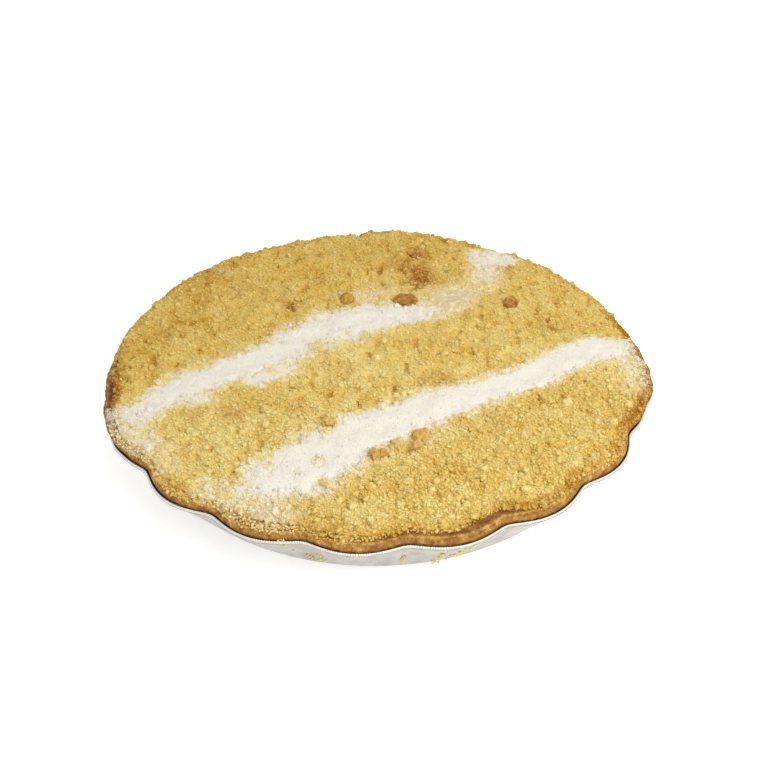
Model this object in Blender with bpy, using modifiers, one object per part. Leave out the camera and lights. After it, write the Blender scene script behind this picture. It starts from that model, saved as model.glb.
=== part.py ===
"""Apple crumble pie in a fluted foil tin, as solids.

One round pie: a thin tin with a turned rim, a pastry case that is full to the top, a crumble topping with
its larger crumbs fused on, and three browned lumps that sit in it. Lengths are in metres and +Z is up. The
origin is under the middle of the tin, on the surface that the tin stands on, and the pie is seen from -Y.
"""

import math
import random

import bmesh
import bpy
from mathutils import Euler, Matrix, Vector, noise

GAP = 0.0003  # clear space left between pieces that touch
COLUMNS_PER_FLUTE = 8

# Foil tin
TIN_DIAMETER = 0.2775  # over the turned rim, at the flute tips that face the viewer
TIN_BASE_DIAMETER = 0.225
TIN_HEIGHT = 0.0315
FOIL = 0.0003
RIM_WIDTH = 0.00115
RIM_BEND = 0.00025  # where the foil turns into the rim's flat and out of it
RIM_DROP = 0.0012  # how far the rim's edge turns down
BASE_CORNER = 0.003
FLUTES = 18
FLUTE_DEPTH = 0.0049  # from valley to tip, at the front of the rim
FLUTE_SOFTNESS = 0.2  # 0 gives sharp valleys, and a large value an even wave
VALLEY_ANGLE = math.radians(15.4)  # one valley, counted from +X

# Shape in plan: the front keeps its full flutes, and the sides and back are bent a little
FRONT = (-86.5, 59.5, 71.5)  # middle in degrees, and how far from it the front ends and the rest begins
BACK = (91, 72, 92)
FLUTE_EASE = 0.5  # share of their depth that the flutes lose away from the front
SWELLS = (
    # middle and half width in degrees, and how far out the pie is bent there
    (100, 75, -0.0023),
    (38, 29, -0.0030),
    (68, 10, -0.0018),
    (106, 16, -0.0026),
    (-160, 8, 0.0022),
    (-7, 6, 0.0024),
)
ARC_FULL = 0.6  # share of an arc's half width within which it is full
ARC_END = 1.4  # and where it has ended

# Pastry case
WALL_CLEARANCE = 0.0007  # baked pastry has shrunk from the tin
LIP_HEIGHT = 0.0036  # the crust's ridge over the tin's rim
LIP_SHOULDER = 0.0031  # where its outer face rounds over
LIP_BROW = 0.0019  # where it stands out farthest
LIP_FOOT = 0.0009  # where its outer face leaves the tin
LIP_INSIDE = 0.0032  # where the crumble meets it
LIP_WIDTH = 0.0060
RIDGE_INSET = 0.45  # share of the lip's width from its outermost line to its ridge
SHOULDER_INSET = 0.15
OVERHANG = 0.0038  # away from the front the crust stands over the rim, here in a valley
TIP_OVERHANG = 0.0020  # and here on a flute's tip
FILL_HEIGHT = 0.0012  # the flat under the crumble, over the tin's rim
FILL_RADIUS = 0.112

# Crumble topping
FRONT_INSET = 0.0058  # crust that shows between the crumble and the crust's outer edge
TIP_INSET = 0.0010  # more of it on a tip of the flutes
SIDE_INSET = 0.0032
BACK_INSET = 0.0013
INSET_CHANGES = (
    # middle and half width in degrees, and how much more crust shows there
    (-38, 22, -0.0028),
    (-67, 7, 0.0018),
    (-138, 16, -0.0026),
    (-170, 16, 0.0016),
)
CRUMBLE_LIFT = 0.0008  # its underside over the pastry
UNDERSIDE_STEP = 0.0008  # its underside turns down this far inside the lip
OUTLINE_WANDER = 0.28  # share of the inset
OUTLINE_WAVES = (7, 19)  # waves of the outline: broad ones, and fine ones of half their strength
EDGE_RISE = 0.0048  # crumble's top at its edge, over the tin's rim
SHOULDER_RISE = 0.0058  # just inside the edge
CENTRE_RISE = 0.0092
SHOULDER_SHARE = 0.94  # of the radius
CALM_EDGE = 0.6  # share of the clumps' relief that is gone at the edge
GRID_CELLS = 41
GRID_JITTER = 0.28  # of a cell
CLUMP_SIZE = 0.011
CLUMP_RELIEF = 0.0011
CRUMB_RELIEF = 0.0010
HOLLOWS = (
    # x, y, radius and depth
    (0.0244, 0.0800, 0.0070, 0.0026),
    (0.0250, 0.1068, 0.0055, 0.0022),
    (0.0640, 0.0330, 0.0080, 0.0010),
)

# Larger crumbs, fused to the topping
CRUMBS = 60
CRUMB_SIZES = (0.0040, 0.0066)
CRUMB_SPACING = 0.0115
CRUMB_LIFT = 0.06  # share of its size that a crumb's middle lies above the surface
CRUMB_DENTS = (0.82, 1.12)
CRUMB_LENGTHS = (0.9, 1.25)
CRUMB_HEIGHTS = (0.75, 0.95)
CRUMB_SEED = 31

# Browned lumps: name, place in plan, width, depth and height, and turn in degrees
LUMPS = (
    ("baked_lump_left", (-0.0149, 0.0535), (0.0078, 0.0070, 0.0056), 20),
    ("baked_lump_middle", (0.0159, 0.0514), (0.0125, 0.0092, 0.0066), -8),
    ("baked_lump_right", (0.0719, 0.0489), (0.0076, 0.0074, 0.0074), 0),
)
LUMP_LIFT = 0.12  # share of a lump's height that its middle lies above the crumble
LUMP_DENT = 0.16
LUMP_WAVES = 3.1  # waves of the dents across a lump
LUMP_PATTERN = 900  # gives lumps of unlike sizes unlike dents
SOCKET_GAP = GAP * 1.5

SHARP_ANGLE = math.radians(40)

RIM_INNER = TIN_DIAMETER / 2 - RIM_WIDTH - FLUTE_DEPTH  # inner edge of the rim, in a valley
CRUST_RADIUS = RIM_INNER - WALL_CLEARANCE
LIP_INNER = CRUST_RADIUS - LIP_WIDTH
FILL_LEVEL = TIN_HEIGHT + FILL_HEIGHT
LIP = (
    # radius and height from the filling over the ridge to the lip's outermost line
    (FILL_RADIUS, FILL_LEVEL),
    (LIP_INNER, TIN_HEIGHT + LIP_INSIDE),
    (CRUST_RADIUS - LIP_WIDTH * RIDGE_INSET, TIN_HEIGHT + LIP_HEIGHT),
    (CRUST_RADIUS - LIP_WIDTH * SHOULDER_INSET, TIN_HEIGHT + LIP_SHOULDER),
    (CRUST_RADIUS, TIN_HEIGHT + LIP_BROW),
)


def smooth_step(value, low, high):
    """0 up to low, 1 from high, and an even curve between."""
    t = min(1.0, max(0.0, (value - low) / (high - low)))
    return t * t * (3 - 2 * t)


def flute(angle):
    """How far out the tin stands at this angle: 0 in a valley, 1 at a tip."""
    half_wave = math.sin(FLUTES * (angle - VALLEY_ANGLE) / 2)
    reach = math.hypot(1, FLUTE_SOFTNESS) - FLUTE_SOFTNESS
    return (math.hypot(half_wave, FLUTE_SOFTNESS) - FLUTE_SOFTNESS) / reach


def around(angle, middle, low, high):
    """1 within low degrees of the middle, and 0 from high degrees on."""
    away = abs((math.degrees(angle) - middle + 180) % 360 - 180)
    return 1 - smooth_step(away, low, high)


def arcs(angle, changes):
    """The sum of the changes at this angle, each with its middle, half width and amount."""
    return sum(
        amount * around(angle, middle, ARC_FULL * half, ARC_END * half) for middle, half, amount in changes
    )


def tin_reach(angle):
    """How far the wall stands out at the rim: its flute and where the tin is bent."""
    aside = 1 - around(angle, *FRONT)
    return FLUTE_DEPTH * (1 - FLUTE_EASE * aside) * flute(angle) + arcs(angle, SWELLS) * aside


def overhang(angle):
    """How far the crust's lip stands out over what is in the tin: nothing at the front."""
    return (1 - around(angle, *FRONT)) * (OVERHANG - (OVERHANG - TIP_OVERHANG) * flute(angle))


def wall_share(height):
    """What is pushed out grows from nothing at the base to its full depth at the rim."""
    return min(1.0, max(0.0, (height - BASE_CORNER) / (TIN_HEIGHT - RIM_DROP - BASE_CORNER)))


def tin_push(_radius, height, angle):
    """How far out a point of the plain turned tin goes."""
    return tin_reach(angle) * wall_share(height)


def pastry_push(radius, height, angle):
    """How far out a point of the plain turned pastry goes: nothing where the filling is."""
    push = tin_reach(angle) * wall_share(height) * smooth_step(radius, FILL_RADIUS, LIP_INNER)
    if height > TIN_HEIGHT + (LIP_FOOT + LIP_BROW) / 2:
        push += overhang(angle) * smooth_step(radius, LIP_INNER, LIP_INNER + LIP_WIDTH / 2)
    return push


def material(name, colour, roughness, metallic=0.0):
    made = bpy.data.materials.new(name)
    made.use_nodes = True
    shader = made.node_tree.nodes["Principled BSDF"]
    shader.inputs["Base Color"].default_value = (*colour, 1)
    shader.inputs["Roughness"].default_value = roughness
    shader.inputs["Metallic"].default_value = metallic
    made.diffuse_color = (*colour, 1)
    return made


def add_object(name, shape, collection, finish=None):
    """Makes the bmesh a named object in the collection."""
    mesh = bpy.data.meshes.new(name)
    shape.to_mesh(mesh)
    shape.free()
    if finish:
        mesh.materials.append(finish)
    made = bpy.data.objects.new(name, mesh)
    collection.objects.link(made)
    return made


def fluted_turning(profile, push):
    """Turns a profile of (radius, height) points about Z, then pushes each point out."""
    shape = bmesh.new()
    points = [shape.verts.new((radius, 0, height)) for radius, height in profile]
    edges = [shape.edges.new(pair) for pair in zip(points, points[1:])]
    bmesh.ops.spin(
        shape,
        geom=points + edges,
        axis=(0, 0, 1),
        cent=(0, 0, 0),
        angle=2 * math.pi,
        steps=FLUTES * COLUMNS_PER_FLUTE,
        use_merge=True,
    )
    bmesh.ops.rotate(shape, verts=shape.verts, matrix=Matrix.Rotation(VALLEY_ANGLE, 3, "Z"))
    bmesh.ops.remove_doubles(shape, verts=shape.verts, dist=1e-6)
    for point in shape.verts:
        radius = math.hypot(point.co.x, point.co.y)
        if radius > BASE_CORNER:
            out = 1 + push(radius, point.co.z, math.atan2(point.co.y, point.co.x)) / radius
            bmesh.ops.scale(shape, verts=[point], vec=(out, out, 1))
    bmesh.ops.recalc_face_normals(shape, faces=shape.faces)
    return shape


def build_tin(collection):
    """The foil: a flat round base, a sloping fluted wall and a rim that turns out and down."""
    base = TIN_BASE_DIAMETER / 2
    inner_face = (
        (0, FOIL),
        (base - BASE_CORNER, FOIL),
        (base + BASE_CORNER / 2, BASE_CORNER),
        (RIM_INNER - RIM_BEND, TIN_HEIGHT - RIM_DROP),
        (RIM_INNER + RIM_BEND, TIN_HEIGHT),
        (RIM_INNER + RIM_WIDTH - RIM_BEND, TIN_HEIGHT),
        (RIM_INNER + RIM_WIDTH, TIN_HEIGHT - RIM_DROP),
    )
    shape = fluted_turning(inner_face, tin_push)
    floor = min(shape.faces, key=lambda face: face.calc_center_median().z)
    if floor.normal.z < 0:
        bmesh.ops.reverse_faces(shape, faces=shape.faces)
    tin = add_object("foil_tin", shape, collection, material("foil", (0.78, 0.79, 0.81), 0.32, 1.0))
    sheet = tin.modifiers.new("sheet", "SOLIDIFY")
    sheet.thickness = FOIL
    sheet.offset = -1
    sheet.use_even_offset = True


def build_pastry(collection):
    """The baked case and what it holds, solid, up to a raised lip."""
    base = TIN_BASE_DIAMETER / 2 - WALL_CLEARANCE
    section = (
        (0, FOIL + GAP),
        (base - BASE_CORNER, FOIL + GAP),
        (base + BASE_CORNER / 2, BASE_CORNER + GAP),
        (CRUST_RADIUS - RIM_BEND, TIN_HEIGHT - RIM_DROP),
        (CRUST_RADIUS, TIN_HEIGHT + LIP_FOOT),
        *LIP[::-1],
        (0, FILL_LEVEL),
    )
    shape = fluted_turning(section, pastry_push)
    add_object("pastry_case", shape, collection, material("baked pastry", (0.60, 0.33, 0.12), 0.6))


def pastry_top(radius, angle):
    """Height of the pastry's upper face."""
    corners = [(plain + pastry_push(plain, height, angle), height) for plain, height in LIP]
    for (start, low), (end, high) in zip(corners, corners[1:]):
        if radius < end:
            return low + (high - low) * max(0.0, (radius - start) / (end - start))
    return corners[-1][1]


def crumble_outline(angle):
    """Radius of the topping's uneven edge."""
    at_front = around(angle, *FRONT)
    at_back = around(angle, *BACK)
    aside = BACK_INSET * at_back + SIDE_INSET * (1 - at_back)
    inset = (FRONT_INSET + TIP_INSET * flute(angle)) * at_front + aside * (1 - at_front)
    inset += arcs(angle, INSET_CHANGES)
    place = Vector((math.cos(angle), math.sin(angle), 0.4))
    broad, fine = [noise.noise(place * waves) for waves in OUTLINE_WAVES]
    uneven = inset * (1 + OUTLINE_WANDER * (broad + fine / 2))
    return CRUST_RADIUS + tin_reach(angle) + overhang(angle) - uneven


def crumble_top(x, y):
    """Height of the topping, with its clumps and hollows, before the single crumbs."""
    share = min(1.0, math.hypot(x, y) / crumble_outline(math.atan2(y, x)))
    if share < SHOULDER_SHARE:
        rise = CENTRE_RISE - (CENTRE_RISE - SHOULDER_RISE) * (share / SHOULDER_SHARE) ** 2
    else:
        over = (share - SHOULDER_SHARE) / (1 - SHOULDER_SHARE)
        rise = SHOULDER_RISE - (SHOULDER_RISE - EDGE_RISE) * over**2
    rise += CLUMP_RELIEF * noise.noise(Vector((x, y, 0)) / CLUMP_SIZE) * (1 - CALM_EDGE * share**6)
    for hollow_x, hollow_y, radius, depth in HOLLOWS:
        away = math.hypot(x - hollow_x, y - hollow_y) / radius
        rise -= depth * math.exp(-away * away)
    return TIN_HEIGHT + rise


def square_to_disc(u, v):
    """Carries a point of the square from -1 to 1 to the unit disc, with even spacing."""
    if u == 0 and v == 0:
        return 0.0, 0.0
    if abs(u) > abs(v):
        radius, angle = u, math.pi / 4 * v / u
    else:
        radius, angle = v, math.pi / 2 - math.pi / 4 * u / v
    return radius * math.cos(angle), radius * math.sin(angle)


def bumpy_top(shape, draw):
    """The topping's upper surface: an even grid on the outline, each of its points a crumb high or low."""
    bmesh.ops.create_grid(shape, x_segments=GRID_CELLS, y_segments=GRID_CELLS, size=1)
    cell = 2 / GRID_CELLS
    for point in shape.verts:
        inside = 0 if point.is_boundary else 1
        u = point.co.x + inside * draw.uniform(-GRID_JITTER, GRID_JITTER) * cell
        v = point.co.y + inside * draw.uniform(-GRID_JITTER, GRID_JITTER) * cell
        across_u, across_v = square_to_disc(u, v)
        outline = crumble_outline(math.atan2(across_v, across_u))
        x = across_u * outline
        y = across_v * outline
        point.co = (x, y, crumble_top(x, y) + inside * draw.uniform(-CRUMB_RELIEF, CRUMB_RELIEF))


def ring_on_pastry(shape, new_radius):
    """Extrudes the open edge on to the pastry; new_radius gives each new point's radius from its old one."""
    edge = [e for e in shape.edges if e.is_boundary]
    made = bmesh.ops.extrude_edge_only(shape, edges=edge)["geom"]
    for point in [item for item in made if isinstance(item, bmesh.types.BMVert)]:
        angle = math.atan2(point.co.y, point.co.x)
        radius = new_radius(math.hypot(point.co.x, point.co.y), angle)
        height = pastry_top(radius, angle) + CRUMBLE_LIFT
        point.co = (radius * math.cos(angle), radius * math.sin(angle), height)


def crumble_body():
    """The topping as one closed body, whose edge lies on the crust and whose underside follows it."""
    shape = bmesh.new()
    bumpy_top(shape, random.Random(CRUMB_SEED))
    ring_on_pastry(shape, lambda radius, angle: radius)
    ring_on_pastry(shape, lambda radius, angle: min(radius, LIP_INNER + tin_reach(angle)) - UNDERSIDE_STEP)
    ring_on_pastry(shape, lambda radius, angle: FILL_RADIUS - BASE_CORNER)
    bmesh.ops.contextual_create(shape, geom=[e for e in shape.edges if e.is_boundary])
    bmesh.ops.triangulate(shape, faces=shape.faces)
    bmesh.ops.recalc_face_normals(shape, faces=shape.faces)
    return shape


def crumb_places(draw):
    """Places for the larger crumbs, spread evenly, clear of each other and of the browned lumps."""
    taken = [(Vector(place), max(size) / 2 + CRUMB_SIZES[1]) for _, place, size, _ in LUMPS]
    places = []
    while len(places) < CRUMBS:
        angle = draw.uniform(0, 2 * math.pi)
        radius = (crumble_outline(angle) - CRUMB_SIZES[1]) * math.sqrt(draw.random())
        spot = Vector((radius * math.cos(angle), radius * math.sin(angle)))
        if all((spot - other).length > reach for other, reach in taken):
            places.append(spot)
            taken.append((spot, CRUMB_SPACING))
    return places


def crumb(size, draw):
    """One angular crumb, wider than it is high."""
    shape = bmesh.new()
    bmesh.ops.create_icosphere(shape, subdivisions=1, radius=size / 2)
    turn = Euler([draw.uniform(0, 2 * math.pi) for _ in range(3)]).to_matrix()
    bmesh.ops.rotate(shape, verts=shape.verts, matrix=turn)
    for point in shape.verts:
        point.co *= draw.uniform(*CRUMB_DENTS)
    flattened = (draw.uniform(*CRUMB_LENGTHS), 1, draw.uniform(*CRUMB_HEIGHTS))
    bmesh.ops.scale(shape, verts=shape.verts, vec=flattened)
    return shape


def settle(made):
    """Gives the object its mesh as the modifiers leave it, and takes them off."""
    evaluated = made.evaluated_get(bpy.context.evaluated_depsgraph_get())
    made.data = bpy.data.meshes.new_from_object(evaluated)
    made.modifiers.clear()


def build_crumble(collection):
    """The topping with its larger crumbs fused on by one union."""
    finish = material("crumble", (0.76, 0.52, 0.19), 0.85)
    crumble = add_object("crumble", crumble_body(), collection, finish)
    loose = bpy.data.collections.new("Larger crumbs")
    bpy.context.scene.collection.children.link(loose)
    draw = random.Random(CRUMB_SEED)
    for number, spot in enumerate(crumb_places(draw)):
        size = draw.uniform(*CRUMB_SIZES)
        piece = add_object(f"crumb_{number}", crumb(size, draw), loose)
        piece.location = (spot.x, spot.y, crumble_top(spot.x, spot.y) + CRUMB_LIFT * size)
    join = crumble.modifiers.new("fuse", "BOOLEAN")
    join.operation = "UNION"
    join.operand_type = "COLLECTION"
    join.collection = loose
    settle(crumble)
    for piece in list(loose.objects):
        bpy.data.objects.remove(piece)
    bpy.data.collections.remove(loose)
    return crumble


def lump_body(size, grow=0.0):
    """A rounded, slightly dented lump; grow makes it larger all round."""
    shape = bmesh.new()
    bmesh.ops.create_icosphere(shape, subdivisions=2, radius=0.5)
    for point in shape.verts:
        dent = 1 + LUMP_DENT * noise.noise(point.co * LUMP_WAVES + Vector(size) * LUMP_PATTERN)
        point.co = Vector(point.co[axis] * dent * size[axis] for axis in range(3))
    shape.normal_update()
    for point in shape.verts:
        point.co += point.normal * grow
    return shape


def build_lumps(collection, cutters, crumble):
    """The browned lumps, each in a socket of its own in the topping."""
    finish = material("browned crumble", (0.50, 0.23, 0.07), 0.6)
    for name, (x, y), size, turn in LUMPS:
        lump = add_object(name, lump_body(size), collection, finish)
        socket = add_object(f"{name}_socket", lump_body(size, SOCKET_GAP), cutters)
        for made in (lump, socket):
            made.location = (x, y, crumble_top(x, y) + LUMP_LIFT * size[2])
            made.rotation_euler.z = math.radians(turn)
        socket.hide_render = True
        socket.display_type = "WIRE"
    cut = crumble.modifiers.new("sockets", "BOOLEAN")
    cut.operation = "DIFFERENCE"
    cut.operand_type = "COLLECTION"
    cut.collection = cutters


def main():
    for old in list(bpy.data.objects):
        bpy.data.objects.remove(old, do_unlink=True)
    pie = bpy.data.collections.new("Apple crumble pie")
    cutters = bpy.data.collections.new("Cutters")
    for collection in (pie, cutters):
        bpy.context.scene.collection.children.link(collection)
    build_tin(pie)
    build_pastry(pie)
    crumble = build_crumble(pie)
    build_lumps(pie, cutters, crumble)
    for made in pie.objects:
        made.data.shade_smooth()
        made.data.set_sharp_from_angle(angle=SHARP_ANGLE)


main()
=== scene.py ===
"""Apple crumble pie in its fluted foil tin: the fine shapes, the finishes and a plain studio.

The solids of the pie are loaded as a fixed frame, and each of them is replaced by a finer piece of the same
form. Lengths are in metres, +Z is up, the origin is under the middle of the tin, and the pie is seen from -Y.
Tables of places in plan are in millimetres and degrees. A row of noise is the width of its waves, the number
of its pattern and how much it adds.
"""

import logging
import math
from dataclasses import dataclass
from enum import Enum

import bmesh
import bpy
import numpy as np
from mathutils import Matrix, Vector, noise

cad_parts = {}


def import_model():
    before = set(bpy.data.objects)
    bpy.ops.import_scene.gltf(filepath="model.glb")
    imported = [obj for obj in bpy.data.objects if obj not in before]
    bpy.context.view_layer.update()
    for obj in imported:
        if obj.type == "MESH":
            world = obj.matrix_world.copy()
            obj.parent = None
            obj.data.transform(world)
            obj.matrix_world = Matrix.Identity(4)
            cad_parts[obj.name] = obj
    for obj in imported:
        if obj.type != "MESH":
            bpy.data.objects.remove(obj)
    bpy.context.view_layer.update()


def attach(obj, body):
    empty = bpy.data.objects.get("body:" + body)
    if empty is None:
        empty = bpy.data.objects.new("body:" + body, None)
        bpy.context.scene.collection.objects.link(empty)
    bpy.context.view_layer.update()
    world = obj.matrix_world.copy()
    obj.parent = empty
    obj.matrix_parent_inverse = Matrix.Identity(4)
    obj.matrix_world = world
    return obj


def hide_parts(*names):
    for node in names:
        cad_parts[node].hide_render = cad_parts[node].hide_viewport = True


log = logging.getLogger("apple_crumble_pie")

Row = tuple[float, ...]
Rows = tuple[Row, ...]
Outline = list[tuple[float, float]]
Shape = bmesh.types.BMesh
Socket = bpy.types.NodeSocket

BODY = "root"
TIGHT = 1e-6  # points closer than this are one point
NOISE_MIDDLE = 0.5  # the middle of what a noise node gives
CORNER_SHARE = 0.45  # a rounded corner takes at most this share of each side
ARC_FULL = 0.6  # share of its half width up to which a change along the edge is full
ARC_END = 1.4  # share of its half width at which it has ended


class Slot(Enum):
    """The names of the material slots."""

    FOIL = "foil"
    PASTRY = "baked_pastry"
    CRUMBLE = "crumble"
    BROWNED = "browned_crumble"


# Shared shapes and measures


def smooth_step(value: np.ndarray, low: float, high: float) -> np.ndarray:
    """0 up to low, 1 from high, and an even curve between."""
    share = np.clip((value - low) / (high - low), 0.0, 1.0)
    return share * share * (3 - 2 * share)


def waves(places: np.ndarray, size: float, pattern: float) -> np.ndarray:
    """Smooth noise over the plan, from about -1 to 1, with waves of the given width."""
    return np.array([noise.noise(Vector((x / size, y / size, pattern))) for x, y in places])


def rippled(places: np.ndarray, rows: Rows) -> np.ndarray:
    """The sum of the given rows of noise over the plan."""
    return sum(amount * waves(places, size, pattern) for size, pattern, amount in rows)


def patches(places: np.ndarray, size: float, pattern: float, low: float, high: float) -> np.ndarray:
    """Scattered patches over the plan, from 0 to 1: noise that is cut off below low and full from high."""
    return smooth_step(waves(places, size, pattern), low, high)


def waves_around(places: np.ndarray, size: float = 1.0) -> np.ndarray:
    """Smooth noise in space, from about -1 to 1, for points with x, y and z."""
    return np.array([noise.noise(Vector(place) / size) for place in places])


def domes(places: np.ndarray, size: float, pattern: float) -> np.ndarray:
    """Rounded bumps of the given width: from 0 in a deep crease between them to 1 on top of one."""
    away = [noise.voronoi(Vector((x / size, y / size, pattern)))[0][0] for x, y in places]
    return 1 - np.clip(away, 0.0, 1.0) ** 2


def angle_of(places: np.ndarray) -> np.ndarray:
    """The angle of each point round the middle, from +X."""
    return np.arctan2(places[:, 1], places[:, 0])


def radius_of(places: np.ndarray) -> np.ndarray:
    """The distance of each point from the middle, in plan."""
    return np.hypot(places[:, 0], places[:, 1])


def far_back(places: np.ndarray, lean: float, low: float, high: float) -> np.ndarray:
    """How far back and to the left each place lies, from 0 to 1. The lean says how much the left counts."""
    return smooth_step(places[:, 1] - lean * places[:, 0], low, high)


def pushed_out(places: np.ndarray, out: np.ndarray, still: float) -> np.ndarray:
    """Moves points outwards in plan.

    Args:
        places: the points.
        out: how far each of them goes.
        still: the radius within which none moves.

    Returns:
        The moved points.
    """
    radius = radius_of(places)
    moved = places.copy()
    moved[:, :2] *= np.where(radius > still, 1 + out / np.maximum(radius, TIGHT), 1.0)[:, None]
    return moved


def rounded(corners: Outline, reach: float, steps: int) -> Outline:
    """Rounds the inner corners of an open outline.

    Args:
        corners: the outline's points.
        reach: how far before and after a corner its curve begins and ends, at most.
        steps: the pieces of each curve.

    Returns:
        The outline's points, with a short curve at each corner.
    """
    points = [Vector(corner) for corner in corners]
    smooth = [points[0]]
    for before, corner, after in zip(points, points[1:], points[2:]):
        start = corner + (before - corner) * min(CORNER_SHARE, reach / (before - corner).length)
        end = corner + (after - corner) * min(CORNER_SHARE, reach / (after - corner).length)
        for step in range(steps + 1):
            t = step / steps
            smooth.append(start * (1 - t) ** 2 + corner * (2 * t * (1 - t)) + end * t**2)
    smooth.append(points[-1])
    return [tuple(point) for point in smooth]


def divided(outline: Outline, longest: float) -> Outline:
    """Adds points to an outline until no stretch of it is longer than the given length.

    Args:
        outline: its points.
        longest: that length.

    Returns:
        The outline's points, with those added.
    """
    points = [outline[0]]
    for (start_x, start_y), (end_x, end_y) in zip(outline, outline[1:]):
        parts = max(1, math.ceil(math.hypot(end_x - start_x, end_y - start_y) / longest))
        for part in range(1, parts + 1):
            t = part / parts
            points.append((start_x + (end_x - start_x) * t, start_y + (end_y - start_y) * t))
    return points


def turned(profile: Outline, columns: int, start: float) -> Shape:
    """Turns a profile about Z.

    Args:
        profile: radius and height of each point.
        columns: the number of steps of the full turn.
        start: the angle of the first column.

    Returns:
        The turned shape, with its seam and poles closed.
    """
    shape = bmesh.new()
    points = [shape.verts.new((radius, 0, height)) for radius, height in profile]
    edges = [shape.edges.new(pair) for pair in zip(points, points[1:])]
    turn = {"axis": (0, 0, 1), "cent": (0, 0, 0), "angle": 2 * math.pi}
    bmesh.ops.spin(shape, geom=points + edges, steps=columns, use_merge=True, **turn)
    bmesh.ops.rotate(shape, verts=shape.verts, matrix=Matrix.Rotation(start, 3, "Z"))
    bmesh.ops.remove_doubles(shape, verts=shape.verts, dist=TIGHT)
    bmesh.ops.recalc_face_normals(shape, faces=shape.faces)
    return shape


def ball(roundness: int) -> Shape:
    """A ball 1 across: 8 faces at a roundness of 0, 20 at 1, and each step more gives four times as many.

    Args:
        roundness: how finely it is divided.

    Returns:
        The ball.
    """
    shape = bmesh.new()
    if roundness:
        bmesh.ops.create_icosphere(shape, subdivisions=roundness, radius=0.5)
    else:
        bmesh.ops.create_uvsphere(shape, u_segments=4, v_segments=2, radius=0.5)
    return shape


def places_of(shape: Shape) -> np.ndarray:
    """x, y and z of a shape's points."""
    return np.array([point.co[:] for point in shape.verts])


def corners_of(shape: Shape) -> np.ndarray:
    """The points of each face of a shape, by number."""
    return np.array([[point.index for point in face.verts] for face in shape.faces])


def move_to(shape: Shape, places: np.ndarray) -> None:
    """Moves a shape's points to new places."""
    for point, place in zip(shape.verts, places):
        point.co = place


def mesh_of(name: str, shape: Shape) -> bpy.types.Mesh:
    """Makes the shape a mesh and frees it.

    Args:
        name: the mesh's name.
        shape: the shape.

    Returns:
        The mesh.
    """
    mesh = bpy.data.meshes.new(name)
    shape.to_mesh(mesh)
    shape.free()
    return mesh


def set_values(mesh: bpy.types.Mesh, **values: np.ndarray) -> None:
    """Keeps a value for each point of a mesh under each given name.

    Args:
        mesh: the mesh.
        values: a number for each point, under each name.
    """
    for name, numbers in values.items():
        layer = mesh.attributes.new(name, "FLOAT", "POINT")
        layer.data.foreach_set("value", np.asarray(numbers, dtype=np.float32))


def placed(name: str, data: bpy.types.ID) -> bpy.types.Object:
    """Puts an object with the given data in the scene.

    Args:
        name: the object's name.
        data: its mesh, light or camera.

    Returns:
        The object.
    """
    made = bpy.data.objects.new(name, data)
    bpy.context.scene.collection.objects.link(made)
    return made


def add_piece(
    mesh: bpy.types.Mesh, finish: bpy.types.Material, replaced: str = "", smooth: bool = True
) -> bpy.types.Object:
    """Puts a finished mesh in the scene as a piece of the pie, with the mesh's name.

    Args:
        mesh: its mesh, in place.
        finish: its material.
        replaced: the solid that it stands for, if any.
        smooth: whether its faces are shaded as one round surface.

    Returns:
        The piece's object.
    """
    mesh.materials.append(finish)
    if smooth:
        mesh.shade_smooth()
    else:
        mesh.shade_flat()
    piece = placed(mesh.name, mesh)
    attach(piece, BODY)
    if replaced:
        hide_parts(replaced)
    log.info("%s: %d faces", mesh.name, len(mesh.polygons))
    return piece


# Finishes


@dataclass(frozen=True)
class Tint:
    """A colour as a screen shows it, each part from 0 to 255."""

    red: float
    green: float
    blue: float

    def linear(self) -> Row:
        """The colour as the shaders take it.

        Returns:
            Its red, green and blue as shares of linear light, and 1 for solid.
        """
        parts = [part / 255 for part in (self.red, self.green, self.blue)]
        flat = [part / 12.92 if part <= 0.04045 else ((part + 0.055) / 1.055) ** 2.4 for part in parts]
        return (*flat, 1.0)


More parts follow.
